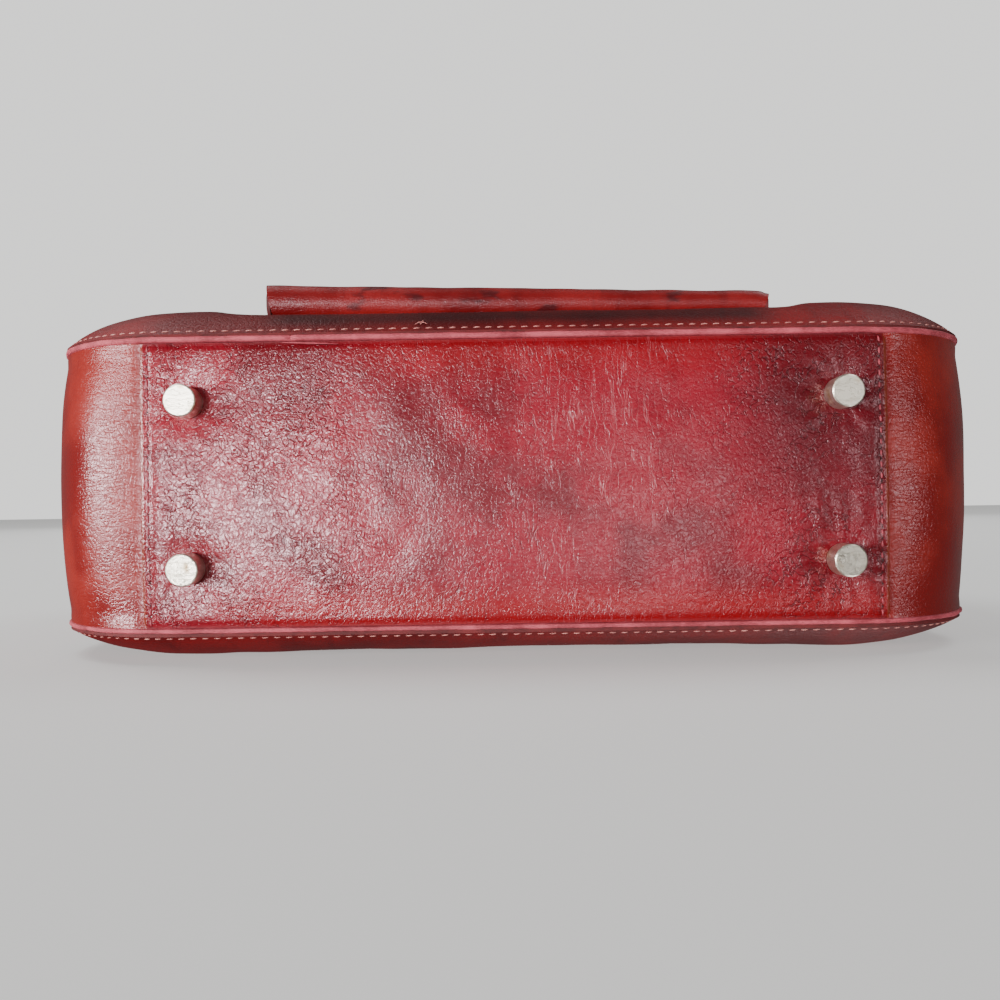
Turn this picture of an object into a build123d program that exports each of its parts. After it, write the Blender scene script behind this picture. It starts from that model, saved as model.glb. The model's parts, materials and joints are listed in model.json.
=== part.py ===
"""A leather doctor bag with a hinged steel mouth frame, a front pocket and four metal base feet.

+Z is up, the bag stands on its feet at Z = 0, and its front faces -Y. The origin is the middle of
the four feet. Lengths are millimetres. The frame is modelled closed, with the handle standing.
"""

from build123d import *
import os

# Driving dimensions of the body
HALF_WIDTH = 164.5          # bag's half width over the gussets
HALF_DEPTH = 47.8           # half width of the gusset and base strips
CORNER_RADIUS = 50.0        # rounded bottom corners of the front and back panels
FOOT_HEIGHT = 9.0           # the base leather is this far above the ground
SHOULDER_Z = 165.0          # where the panels end and the folding shoulders begin
LEATHER = 2.2               # thickness of the base and gusset leather
SKIVED = LEATHER / 2        # thickness of a thinned lap
PANEL_LEATHER = 1.6         # thickness of the front and back leather
WELT = 1.2                  # thickness of the seam strip between gusset and panel
WELT_WIDTH = 5.0
SEAM_PROUD = 1.5            # the seam stands out of the body this much
FRONT_CROWN = 8.4           # how far the front panel swells beyond its seam
BACK_CROWN = 7.6            # how far the back panel swells beyond its seam
TOP_INSET = 0.25            # how steeply the swelling falls off at the top, as a share
PANEL_TOP_RADIUS = 2.0
SWELLING = ((-SEAM_PROUD, 0.0), (9.0, 0.56), (22.0, 0.88), (38.0, 1.0))  # distance in, share of the crown
PANEL_Y = HALF_DEPTH + WELT
BASE_SEAM_X = 124.4         # end of the base leather, lapped over the gussets
BASE_LAP = 10.5

# Base feet and their fixings
FOOT_X, FOOT_Y = 108.7, 27.6
FOOT_RADIUS, FOOT_BEVEL = 5.3, 0.4
POST_RADIUS, POST_HOLE_RADIUS = 1.5, 1.56
NUT_RADIUS, NUT = 3.0, 1.8
WASHER_RADIUS, WASHER = 6.0, 0.8
BOARD = 2.8                 # base stiffener
BOARD_HALF_X, BOARD_HALF_Y, BOARD_RADIUS = 114.9, 44.0, 6.0

# Inside
LINING = 0.8
LINING_GAP = 0.6
LINING_HALF_DEPTH = HALF_DEPTH - 1.0
LINING_LIFT = 0.4           # the lining's floor clears the nuts by this much
INNER_POCKET_WIDTH, INNER_POCKET_HEIGHT, INNER_POCKET_RADIUS = 160.0, 88.0, 8.0
INNER_POCKET_Z = 98.0       # middle of the patch pocket

# Mouth frame
HINGE_Z = 170.0
HINGE_PIN_RADIUS, HINGE_BORE_RADIUS = 2.0, 2.06
HINGE_PLATE = 1.2
HINGE_PLATE_HALF, HINGE_PLATE_TALL, HINGE_PLATE_RADIUS = 11.0, 34.0, 5.0
HINGE_PLATE_Z = HINGE_Z - 12.0
PIN_HEAD_RADIUS, PIN_HEAD, PIN_HEAD_DOME = 4.0, 1.3, 0.9
PIN_PLAY = 0.3              # the pin is this much longer than the arms are thick
ARM, ARM_WIDTH, ARM_GAP = 2.4, 9.0, 0.5
BAR_Y, BAR_Z = 6.2, 234.0   # centre of a closed frame bar
BAR_THICK, BAR_TALL = 3.0, 9.0
WRAP_DEPTH, WRAP_TALL, WRAP_RADIUS = 10.4, 16.0, 4.6
WRAP_HALF_X = 158.0
SHOULDER_TOP_HALF_X = 157.0
SHOULDER_LEATHER = 1.8
FOLD_DEPTH = 46.0           # how far the gusset top tucks in
FOLD_LEATHER = 1.4
SOFT_GAP = 0.3              # clearance above and below the folding leather

# Clasp and handle
TOP_PLATE = 1.2             # thickness of the plates on the frame wraps
KNOB_PLATE_LENGTH, KNOB_PLATE_WIDTH, KNOB_PLATE_RADIUS = 38.0, 7.0, 3.4
KNOB_STEM_LOW, KNOB_STEM_HIGH = 2.6, 1.8
BALL_RADIUS, BALL_X, BALL_RISE = 4.8, 5.2, 11.0
BALL_LEAN = 1.4             # each ball leans this far past the middle
BRACKET_PLATE_LENGTH, BRACKET_PLATE_WIDTH, BRACKET_PLATE_RADIUS = 26.0, 8.0, 3.0
BRACKET_WEB = 4.0
RIVET_RADIUS, RIVET, RIVET_SPACING = 1.7, 0.8, 19.0
BRACKET_X = 58.0
RING_WIRE, RING_BORE_RADIUS = 1.8, 1.86
RING_HALF_X, RING_HEIGHT, RING_CORNER = 11.0, 16.0, 3.0
BRACKET_OUTER_RADIUS, BRACKET_LENGTH = 3.6, 12.0
PIVOT_Z = BAR_Z + WRAP_TALL / 2 + TOP_PLATE + BRACKET_OUTER_RADIUS
HANDLE_RADIUS = 7.2
HANDLE_TOP_Z = 329.0
HANDLE_BEND_RADIUS = 42.0
CORD_RADIUS = 4.0
TAB_HALF_X, TAB_THICK, TAB_RISE, TAB_GAP = 8.4, 2.0, 9.0, 0.1
HANDLE_FOOT_Z = PIVOT_Z + RING_HEIGHT + TAB_RISE

# Front pocket and its flap
POCKET_HALF_X = 89.5
POCKET_BOTTOM_Z, POCKET_TOP_Z = 33.0, 144.0
POCKET_DEPTH = 10.5
POCKET_LEATHER = 2.0
POCKET_FOLD_RADIUS, POCKET_SIDE_RADIUS = 5.0, 3.0
FLAP_HALF_X = 91.5
FLAP_BOTTOM_Z = 92.0
FLAP_LEATHER = 2.0
FLAP_CORNER, FLAP_FOLD_RADIUS = 22.0, 0.95
FLAP_HINGE_Z = 149.0
FLAP_CLEAR = 0.3            # gap between the flap and the strip it folds on
FLAP_STRIP_TOP_Z = 157.0
FLAP_STAND_OFF = 3.2        # the flap's back hangs this far off the pocket
SNAP_Z = 106.0
SNAP_RADIUS, SNAP_THICK, SNAP_GAP = 7.0, 1.3, 0.5
STUD_RADIUS, STUD_RISE, STUD_DOME = 5.0, 1.4, 1.0

BASE_Z = FOOT_HEIGHT
WRAP_TOP_Z = BAR_Z + WRAP_TALL / 2
BOARD_TOP_Z = BASE_Z + LEATHER + BOARD
PANEL_FACE = PANEL_Y + PANEL_LEATHER + FRONT_CROWN
POCKET_FACE = PANEL_FACE + POCKET_DEPTH
FLAP_BACK = POCKET_FACE + FLAP_STAND_OFF
SIDES = {"left": -1, "right": 1}

os.makedirs("parts", exist_ok=True)


def save(piece, label):
    """Labels a finished piece and writes it as one STEP file."""
    piece.part.label = label
    export_step(piece.part, f"parts/{label}.step")


def outline(grow=0.0, bottom=0.0):
    """The bag's front outline as a sketch: round bottom corners and a straight top at SHOULDER_Z.

    grow moves the sides outwards, and bottom lifts the lower edge. The top edge stays in place.
    """
    half, low = HALF_WIDTH + grow, BASE_Z - grow + bottom
    with BuildSketch() as shape:
        with BuildLine():
            Polyline((-half, low), (half, low), (half, SHOULDER_Z), (-half, SHOULDER_Z), close=True)
        make_face()
        fillet(shape.vertices().group_by(Axis.Y)[0], CORNER_RADIUS + grow)
    return shape.sketch


def band(outer, inner, half_depth):
    """A U-shaped strip between two outlines, open at the top."""
    with BuildPart() as strip:
        with BuildSketch(Plane.XZ):
            add(outer)
            add(inner, mode=Mode.SUBTRACT)
        extrude(amount=half_depth, both=True)
    return strip.part


FULL_BAND = band(outline(), outline(-LEATHER), HALF_DEPTH)
OUTER_HALF_BAND = band(outline(), outline(-SKIVED), HALF_DEPTH)
INNER_HALF_BAND = band(outline(-SKIVED), outline(-LEATHER), HALF_DEPTH)


def keep_between(low_x, high_x):
    """Intersects the part being built with the slab between two X values."""
    with Locations(((low_x + high_x) / 2, 0, SHOULDER_Z / 2)):
        Box(high_x - low_x, 4 * HALF_DEPTH, 2 * SHOULDER_Z, mode=Mode.INTERSECT)


def build_base_panel():
    """Base leather, thinned where its ends lap over the gussets, with four holes for the feet."""
    lap_start = BASE_SEAM_X - BASE_LAP
    with BuildPart() as skin:
        add(OUTER_HALF_BAND)
        keep_between(-BASE_SEAM_X, BASE_SEAM_X)
    with BuildPart() as core:
        add(INNER_HALF_BAND)
        keep_between(-lap_start, lap_start)
    with BuildPart() as panel:
        add(skin.part)
        add(core.part)
        with Locations((0, 0, BASE_Z)):
            with GridLocations(2 * FOOT_X, 2 * FOOT_Y, 2, 2):
                Cylinder(POST_HOLE_RADIUS, 4 * LEATHER, mode=Mode.SUBTRACT)
    save(panel, "base_panel")


def build_gusset(side, sign):
    """Side strip from the base lap, round the corner and up to the shoulder."""
    lap_start = BASE_SEAM_X - BASE_LAP
    with BuildPart() as wall:
        add(FULL_BAND)
        keep_between(*sorted((sign * BASE_SEAM_X, sign * 2 * HALF_WIDTH)))
    with BuildPart() as tongue:
        add(INNER_HALF_BAND)
        keep_between(*sorted((sign * lap_start, sign * BASE_SEAM_X)))
    with BuildPart() as gusset:
        add(wall.part)
        add(tongue.part)
    save(gusset, f"gusset_{side}")


def build_welts():
    """Seam strips sewn between the U of base and gussets and each panel."""
    outer, inner = outline(SEAM_PROUD), outline(SEAM_PROUD - WELT_WIDTH)
    for label, offset in (("front_edge_welt", HALF_DEPTH), ("back_edge_welt", -PANEL_Y)):
        with BuildPart() as welt:
            with BuildSketch(Plane.XZ.offset(offset)):
                add(outer)
                add(inner, mode=Mode.SUBTRACT)
            extrude(amount=WELT)
        save(welt, label)


def panel_outline(inset):
    """The bag's outline drawn in by inset, less at the top, and let out where inset is negative."""
    half, low, high = HALF_WIDTH - inset, BASE_Z + inset, SHOULDER_Z - TOP_INSET * max(inset, 0)
    with BuildSketch() as shape:
        with BuildLine():
            Polyline((-half, low), (half, low), (half, high), (-half, high), close=True)
        make_face()
        fillet(shape.vertices().group_by(Axis.Y)[0], CORNER_RADIUS - inset)
        fillet(shape.vertices().group_by(Axis.Y)[-1], PANEL_TOP_RADIUS)
    return shape.sketch


def pillow(crown):
    """A closed swelling solid in front of the front seam, its flat edge one leather thick."""
    with BuildPart() as solid:
        with BuildSketch(Plane.XZ.offset(PANEL_Y)):
            add(panel_outline(-SEAM_PROUD))
        for inset, share in SWELLING:
            with BuildSketch(Plane.XZ.offset(PANEL_Y + PANEL_LEATHER + crown * share)):
                add(panel_outline(inset))
        loft(ruled=True)
    return solid.part


def build_panels():
    """Front and back leather: thin shells that swell away from their seams."""
    for label, crown, mirrored in (
        ("front_panel", FRONT_CROWN, False),
        ("back_panel", BACK_CROWN, True),
    ):
        outer = pillow(crown)
        with BuildPart() as panel:
            add(outer)
            with Locations((0, PANEL_LEATHER, 0)):
                add(outer, mode=Mode.SUBTRACT)
            if mirrored:
                mirror(about=Plane.XZ, mode=Mode.REPLACE)
        save(panel, label)


def build_feet():
    """Four turned metal feet, each with a threaded post up through the base."""
    for side, sign in SIDES.items():
        for place, y in (("front", -FOOT_Y), ("back", FOOT_Y)):
            with BuildPart() as foot:
                with BuildSketch(Plane((sign * FOOT_X, y, 0))):
                    Circle(FOOT_RADIUS)
                extrude(amount=FOOT_HEIGHT)
                chamfer(foot.edges().group_by(Axis.Z)[0], FOOT_BEVEL)
                with BuildSketch(Plane((sign * FOOT_X, y, FOOT_HEIGHT))):
                    Circle(POST_RADIUS)
                extrude(amount=BOARD_TOP_Z + WASHER + NUT - FOOT_HEIGHT)
            save(foot, f"foot_{place}_{side}")


def build_foot_fixings():
    """Washers and nuts that clamp the feet, base leather and board together."""
    with BuildPart() as washers:
        with BuildSketch(Plane.XY.offset(BOARD_TOP_Z)):
            with GridLocations(2 * FOOT_X, 2 * FOOT_Y, 2, 2):
                Circle(WASHER_RADIUS)
                Circle(POST_HOLE_RADIUS, mode=Mode.SUBTRACT)
        extrude(amount=WASHER)
    save(washers, "foot_washers")
    with BuildPart() as nuts:
        with BuildSketch(Plane.XY.offset(BOARD_TOP_Z + WASHER)):
            with GridLocations(2 * FOOT_X, 2 * FOOT_Y, 2, 2):
                RegularPolygon(NUT_RADIUS, 6)
                Circle(POST_HOLE_RADIUS, mode=Mode.SUBTRACT)
        extrude(amount=NUT)
    save(nuts, "foot_nuts")


def build_base_board():
    """Stiff board on the inside of the base leather."""
    with BuildPart() as board:
        with BuildSketch(Plane.XY.offset(BASE_Z + LEATHER)):
            RectangleRounded(2 * BOARD_HALF_X, 2 * BOARD_HALF_Y, BOARD_RADIUS)
            with GridLocations(2 * FOOT_X, 2 * FOOT_Y, 2, 2):
                Circle(POST_HOLE_RADIUS, mode=Mode.SUBTRACT)
        extrude(amount=BOARD)
    save(board, "base_board")


def build_lining():
    """Cloth pouch inside the leather, open at the top, with a patch pocket on its back."""
    lift = BOARD + WASHER + NUT + LINING_LIFT
    outer = outline(-(LEATHER + LINING_GAP), lift)
    inner = outline(-(LEATHER + LINING_GAP + LINING), lift)
    with BuildPart() as lining:
        with BuildSketch(Plane.XZ):
            add(outer)
        extrude(amount=LINING_HALF_DEPTH, both=True)
        with BuildSketch(Plane.XZ):
            add(inner)
        extrude(amount=LINING_HALF_DEPTH - LINING, both=True, mode=Mode.SUBTRACT)
    save(lining, "lining")
    with BuildPart() as patch:
        with BuildSketch(Plane.XZ.offset(-(LINING_HALF_DEPTH - LINING))):
            with Locations((0, INNER_POCKET_Z)):
                RectangleRounded(INNER_POCKET_WIDTH, INNER_POCKET_HEIGHT, INNER_POCKET_RADIUS)
        extrude(amount=LINING)
    save(patch, "inner_pocket")


def build_hinges(side, sign):
    """Hinge plate on the gusset and the riveted pin that both frame arms turn on."""
    plate_x = sign * HALF_WIDTH
    shank = 2 * (ARM + ARM_GAP) + PIN_PLAY
    head_x = plate_x + sign * (HINGE_PLATE + shank)
    with BuildPart() as plate:
        with BuildSketch(Plane((plate_x, 0, HINGE_PLATE_Z), x_dir=(0, 1, 0), z_dir=(sign, 0, 0))):
            RectangleRounded(2 * HINGE_PLATE_HALF, HINGE_PLATE_TALL, HINGE_PLATE_RADIUS)
        extrude(amount=HINGE_PLATE)
    save(plate, f"hinge_plate_{side}")
    with BuildPart() as pin:
        with BuildSketch(Plane((plate_x + sign * HINGE_PLATE, 0, HINGE_Z), z_dir=(sign, 0, 0))):
            Circle(HINGE_PIN_RADIUS)
        extrude(amount=shank)
        with BuildSketch(Plane((head_x, 0, HINGE_Z), z_dir=(sign, 0, 0))):
            Circle(PIN_HEAD_RADIUS)
        extrude(amount=PIN_HEAD)
        fillet(pin.edges().group_by(Axis.X)[-1 if sign > 0 else 0], PIN_HEAD_DOME)
    save(pin, f"hinge_pin_{side}")


def build_frame_bar(place, side_y, arm_x):
    """Steel U: a long bar in the mouth and two flat arms down to the hinge pins."""
    bar_y = side_y * BAR_Y
    with BuildPart() as steel:
        with BuildSketch(Plane.YZ.offset(-arm_x)):
            with Locations((bar_y, BAR_Z)):
                Rectangle(BAR_THICK, BAR_TALL)
        extrude(amount=2 * arm_x)
        for sign in SIDES.values():
            inner_x = sign * (arm_x - ARM)
            with BuildSketch(Plane((inner_x, 0, 0), x_dir=(0, 1, 0), z_dir=(1, 0, 0))) as arm:
                with BuildLine():
                    Polyline(
                        (-ARM_WIDTH / 2, HINGE_Z),
                        (ARM_WIDTH / 2, HINGE_Z),
                        (bar_y + ARM_WIDTH / 2, BAR_Z + BAR_TALL / 2),
                        (bar_y - ARM_WIDTH / 2, BAR_Z + BAR_TALL / 2),
                        close=True,
                    )
                make_face()
                fillet(arm.vertices().group_by(Axis.Y)[-1], ARM_WIDTH / 3)
                with Locations((0, HINGE_Z)):
                    Circle(ARM_WIDTH / 2 + 1.0)
                    Circle(HINGE_BORE_RADIUS, mode=Mode.SUBTRACT)
            extrude(amount=sign * ARM)
    save(steel, f"{place}_frame_bar")


def build_frame_wrap(place, side_y):
    """Leather rolled round the frame bar."""
    with BuildPart() as wrap:
        with BuildSketch(Plane.YZ.offset(-WRAP_HALF_X)):
            with Locations((side_y * BAR_Y, BAR_Z)):
                RectangleRounded(WRAP_DEPTH, WRAP_TALL, WRAP_RADIUS)
                Rectangle(BAR_THICK, BAR_TALL, mode=Mode.SUBTRACT)
        extrude(amount=2 * WRAP_HALF_X)
    save(wrap, f"{place}_frame_wrap")


def build_shoulder(place, side_y):
    """Soft leather between the panel's top edge and the frame wrap. It folds as the frame opens."""
    top_z = BAR_Z - WRAP_TALL / 2 - SOFT_GAP
    low = (side_y * (PANEL_Y + PANEL_LEATHER / 2), SHOULDER_Z + SOFT_GAP)
    high = (side_y * (BAR_Y + 1.5), top_z)
    with BuildPart() as shoulder:
        with BuildSketch(Plane.XY.offset(low[1])):
            with Locations((0, low[0])):
                Rectangle(2 * HALF_WIDTH, SHOULDER_LEATHER)
        with BuildSketch(Plane.XY.offset(high[1])):
            with Locations((0, high[0])):
                Rectangle(2 * SHOULDER_TOP_HALF_X, SHOULDER_LEATHER)
        loft(ruled=True)
    save(shoulder, f"{place}_shoulder")


def chevron(sign, edge_x, crease_x, edge_y):
    """Section of a tucked gusset: two walls that meet in a crease pointing into the bag."""
    with BuildSketch() as shape:
        with BuildLine():
            Polyline(
                (sign * edge_x, -edge_y),
                (sign * crease_x, 0),
                (sign * edge_x, edge_y),
                (sign * (edge_x - FOLD_LEATHER), edge_y),
                (sign * (crease_x - FOLD_LEATHER), 0),
                (sign * (edge_x - FOLD_LEATHER), -edge_y),
                close=True,
            )
        make_face()
    return shape.sketch


def build_gusset_fold(side, sign):
    """Top of the gusset, tucked inwards along a crease when the mouth is shut."""
    low_z, top_z = SHOULDER_Z + SOFT_GAP, BAR_Z - WRAP_TALL / 2 - 2.0
    low_x, top_x = HALF_WIDTH - 2.0, SHOULDER_TOP_HALF_X - 2.0
    with BuildPart() as fold:
        with BuildSketch(Plane.XY.offset(low_z)):
            add(chevron(sign, low_x, low_x - 1.5, PANEL_Y - 2.2))
        with BuildSketch(Plane.XY.offset(top_z)):
            add(chevron(sign, top_x, top_x - FOLD_DEPTH, BAR_Y - 1.2))
        loft(ruled=True)
    save(fold, f"gusset_fold_{side}")


def build_clasp_knob(place, side_y, ball_x):
    """Half of a kiss lock: a plate on the frame wrap, a stem and a ball that leans across."""
    ball_y = -side_y * BALL_LEAN
    with BuildPart() as knob:
        with BuildSketch(Plane((0, side_y * BAR_Y, WRAP_TOP_Z))):
            RectangleRounded(KNOB_PLATE_LENGTH, KNOB_PLATE_WIDTH, KNOB_PLATE_RADIUS)
        extrude(amount=TOP_PLATE)
        with BuildSketch(Plane((ball_x, side_y * (BAR_Y - 1.0), WRAP_TOP_Z + TOP_PLATE))):
            Circle(KNOB_STEM_LOW)
        with BuildSketch(Plane((ball_x, ball_y, WRAP_TOP_Z + BALL_RISE))):
            Circle(KNOB_STEM_HIGH)
        loft(ruled=True)
        with Locations((ball_x, ball_y, WRAP_TOP_Z + BALL_RISE)):
            Sphere(BALL_RADIUS)
    save(knob, f"{place}_clasp_knob")


def build_handle_bracket(side, sign):
    """Plate and tube on the back frame wrap, which the handle ring turns in."""
    tube = Plane((sign * BRACKET_X, BAR_Y, PIVOT_Z), x_dir=(0, 1, 0), z_dir=(1, 0, 0))
    with BuildPart() as bracket:
        with BuildSketch(Plane((sign * BRACKET_X, BAR_Y, WRAP_TOP_Z))):
            RectangleRounded(BRACKET_PLATE_LENGTH, BRACKET_PLATE_WIDTH, BRACKET_PLATE_RADIUS)
        extrude(amount=TOP_PLATE)
        with BuildSketch(tube):
            Circle(BRACKET_OUTER_RADIUS)
            Rectangle(BRACKET_WEB, BRACKET_OUTER_RADIUS, align=(Align.CENTER, Align.MAX))
        extrude(amount=BRACKET_LENGTH / 2, both=True)
        with BuildSketch(tube):
            Circle(RING_BORE_RADIUS)
        extrude(amount=BRACKET_LENGTH, both=True, mode=Mode.SUBTRACT)
    save(bracket, f"handle_bracket_{side}")
    with BuildPart() as rivets:
        with BuildSketch(Plane((sign * BRACKET_X, BAR_Y, WRAP_TOP_Z + TOP_PLATE))):
            with GridLocations(RIVET_SPACING, 1.0, 2, 1):
                Circle(RIVET_RADIUS)
        extrude(amount=RIVET)
    save(rivets, f"bracket_rivets_{side}")


def build_handle_ring(side, sign):
    """Rectangular wire ring: its lower bar turns in the bracket and the handle tab wraps the upper."""
    x = sign * BRACKET_X
    left, right = x - RING_HALF_X, x + RING_HALF_X
    low, high = PIVOT_Z, PIVOT_Z + RING_HEIGHT
    with BuildPart() as ring:
        with BuildLine(Plane((0, BAR_Y, 0), x_dir=(1, 0, 0), z_dir=(0, -1, 0))):
            loop = FilletPolyline(
                (left, low), (right, low), (right, high), (left, high), radius=RING_CORNER, close=True
            )
        with BuildSketch(Plane(loop @ 0, z_dir=loop % 0)):
            Circle(RING_WIRE)
        sweep(path=loop)
    save(ring, f"handle_ring_{side}")


def handle_path():
    """Centre line of the handle, up from one ring, across and down to the other."""
    foot, top = HANDLE_FOOT_Z, HANDLE_TOP_Z - HANDLE_RADIUS
    with BuildLine(Plane((0, BAR_Y, 0), x_dir=(1, 0, 0), z_dir=(0, -1, 0))) as line:
        FilletPolyline(
            (-BRACKET_X, foot), (-BRACKET_X, top), (BRACKET_X, top), (BRACKET_X, foot),
            radius=HANDLE_BEND_RADIUS,
        )
    return line.line


def build_handle():
    """Rolled leather grip over a cord, with a tab at each end that loops round its ring."""
    path = handle_path()
    start = Plane((-BRACKET_X, BAR_Y, HANDLE_FOOT_Z))
    with BuildPart() as grip:
        with BuildSketch(start):
            Circle(HANDLE_RADIUS)
            Circle(CORD_RADIUS, mode=Mode.SUBTRACT)
        sweep(path=path)
    save(grip, "handle_grip")
    with BuildPart() as cord:
        with BuildSketch(start):
            Circle(CORD_RADIUS)
        sweep(path=path)
    save(cord, "handle_core")
    for side, sign in SIDES.items():
        centre = (sign * BRACKET_X, BAR_Y, PIVOT_Z + RING_HEIGHT)
        loop_radius = RING_WIRE + TAB_GAP
        with BuildPart() as tab:
            with BuildSketch(Plane(centre, x_dir=(0, 1, 0), z_dir=(1, 0, 0))):
                Circle(loop_radius + TAB_THICK)
                with Locations((0, TAB_RISE / 2)):
                    Rectangle(2 * (loop_radius + TAB_THICK), TAB_RISE)
                Circle(loop_radius, mode=Mode.SUBTRACT)
            extrude(amount=TAB_HALF_X, both=True)
        save(tab, f"handle_tab_{side}")


def build_front_pocket():
    """Pouch on the front panel: a folded bottom, closed ends and an open top and back."""
    height = POCKET_TOP_Z - POCKET_BOTTOM_Z
    middle = (POCKET_TOP_Z + POCKET_BOTTOM_Z) / 2
    with BuildPart() as pocket:
        with BuildSketch(Plane.XZ.offset(PANEL_FACE)):
            with Locations((0, middle)):
                Rectangle(2 * POCKET_HALF_X, height)
        extrude(amount=POCKET_DEPTH)
        fillet(pocket.edges().filter_by(Axis.X).group_by(Axis.Z)[0].sort_by(Axis.Y)[0], POCKET_FOLD_RADIUS)
        fillet(pocket.edges().filter_by(Axis.Z).group_by(Axis.Y)[0], POCKET_SIDE_RADIUS)
        with BuildSketch(Plane.XZ.offset(PANEL_FACE)):
            with Locations((0, middle + POCKET_LEATHER)):
                Rectangle(2 * (POCKET_HALF_X - POCKET_LEATHER), height)
        extrude(amount=POCKET_DEPTH - POCKET_LEATHER, mode=Mode.SUBTRACT)
    save(pocket, "front_pocket")


def build_flap_strip():
    """Strip sewn above the pocket, with a lip forward to the line that the flap folds on."""
    lip_end = FLAP_BACK - FLAP_CLEAR
    with BuildPart() as strip:
        with BuildSketch(Plane.YZ.offset(-FLAP_HALF_X)):
            with BuildLine():
                Polyline(
                    (-PANEL_FACE, FLAP_STRIP_TOP_Z),
                    (-PANEL_FACE, FLAP_HINGE_Z - FLAP_LEATHER / 2),
                    (-lip_end, FLAP_HINGE_Z - FLAP_LEATHER / 2),
                    (-lip_end, FLAP_HINGE_Z + FLAP_LEATHER / 2),
                    (-PANEL_FACE - FLAP_LEATHER, FLAP_HINGE_Z + FLAP_LEATHER / 2),
                    (-PANEL_FACE - FLAP_LEATHER, FLAP_STRIP_TOP_Z),
                    close=True,
                )
            make_face()
        extrude(amount=2 * FLAP_HALF_X)
    save(strip, "flap_strip")


def build_pocket_flap():
    """The hanging flap, rounded along the fold so that it turns clear of the strip."""
    top = FLAP_HINGE_Z + FLAP_LEATHER / 2
    with BuildPart() as flap:
        with BuildSketch(Plane.XZ.offset(FLAP_BACK)) as face:
            with Locations((0, (FLAP_BOTTOM_Z + top) / 2)):
                Rectangle(2 * FLAP_HALF_X, top - FLAP_BOTTOM_Z)
            fillet(face.vertices().group_by(Axis.Y)[0], FLAP_CORNER)
        extrude(amount=FLAP_LEATHER)
        fillet(flap.edges().filter_by(Axis.X).group_by(Axis.Z)[-1], FLAP_FOLD_RADIUS)
    save(flap, "pocket_flap")


def build_snap():
    """Magnetic snap: a disc on the pocket, its mate behind the flap and a stud cap in front."""
    def disc(label, start, thickness, radius, rounding):
        with BuildPart() as piece:
            with BuildSketch(Plane.XZ.offset(start)):
                with Locations((0, SNAP_Z)):
                    Circle(radius)
            extrude(amount=thickness)
            if rounding:
                fillet(piece.edges().group_by(Axis.Y)[0], rounding)
        save(piece, label)

    mate_start = POCKET_FACE + SNAP_THICK + SNAP_GAP
    disc("snap_base", POCKET_FACE, SNAP_THICK, SNAP_RADIUS, 0)
    disc("snap_cap", mate_start, FLAP_BACK - mate_start, SNAP_RADIUS, 0)
    disc("flap_stud", FLAP_BACK + FLAP_LEATHER, STUD_RISE, STUD_RADIUS, STUD_DOME)


build_base_panel()
build_welts()
build_panels()
build_feet()
build_foot_fixings()
build_base_board()
build_lining()
for side_name, x_sign in SIDES.items():
    build_gusset(side_name, x_sign)
    build_hinges(side_name, x_sign)
    build_gusset_fold(side_name, x_sign)
    build_handle_bracket(side_name, x_sign)
    build_handle_ring(side_name, x_sign)
FRONT_ARM_X = HALF_WIDTH + HINGE_PLATE + ARM_GAP + ARM
build_frame_bar("front", -1, FRONT_ARM_X)
build_frame_bar("back", 1, FRONT_ARM_X + ARM_GAP + ARM)
for place_name, y_sign, knob_x in (("front", -1, -BALL_X), ("back", 1, BALL_X)):
    build_frame_wrap(place_name, y_sign)
    build_shoulder(place_name, y_sign)
    build_clasp_knob(place_name, y_sign, knob_x)
build_handle()
build_front_pocket()
build_flap_strip()
build_pocket_flap()
build_snap()
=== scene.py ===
"""A worn red leather doctor bag: its leather, thread, lining and metal finishes on the CAD frame."""

import json
import math

import bpy
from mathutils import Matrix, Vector, noise


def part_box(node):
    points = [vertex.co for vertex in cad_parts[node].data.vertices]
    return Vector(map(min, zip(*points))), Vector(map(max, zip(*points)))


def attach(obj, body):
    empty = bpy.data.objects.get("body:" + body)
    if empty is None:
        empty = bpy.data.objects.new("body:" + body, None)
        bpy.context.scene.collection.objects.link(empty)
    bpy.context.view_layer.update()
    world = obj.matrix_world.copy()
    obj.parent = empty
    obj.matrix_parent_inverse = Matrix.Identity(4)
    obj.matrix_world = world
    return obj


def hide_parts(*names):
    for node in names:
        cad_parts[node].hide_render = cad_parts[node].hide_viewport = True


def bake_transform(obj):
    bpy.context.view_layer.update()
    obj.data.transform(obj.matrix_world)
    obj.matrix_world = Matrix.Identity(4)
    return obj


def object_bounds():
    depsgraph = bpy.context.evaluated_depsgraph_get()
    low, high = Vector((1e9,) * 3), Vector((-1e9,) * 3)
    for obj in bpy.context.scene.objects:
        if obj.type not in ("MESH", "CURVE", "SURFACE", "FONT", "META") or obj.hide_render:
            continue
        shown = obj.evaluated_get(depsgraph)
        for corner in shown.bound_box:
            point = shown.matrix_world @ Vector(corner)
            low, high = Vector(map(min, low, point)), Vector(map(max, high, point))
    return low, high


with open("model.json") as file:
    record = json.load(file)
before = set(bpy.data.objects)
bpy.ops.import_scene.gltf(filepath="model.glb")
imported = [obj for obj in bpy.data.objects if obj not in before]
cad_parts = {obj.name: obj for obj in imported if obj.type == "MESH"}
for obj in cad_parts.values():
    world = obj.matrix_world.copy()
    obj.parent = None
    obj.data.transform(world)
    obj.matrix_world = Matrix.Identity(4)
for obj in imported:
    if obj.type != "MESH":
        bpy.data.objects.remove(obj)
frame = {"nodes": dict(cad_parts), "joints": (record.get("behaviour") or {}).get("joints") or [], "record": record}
cad_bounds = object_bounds()

MM = 0.001
SIDES = {"left": -1, "right": 1}
PLACES = {"front": -1, "back": 1}

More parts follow.
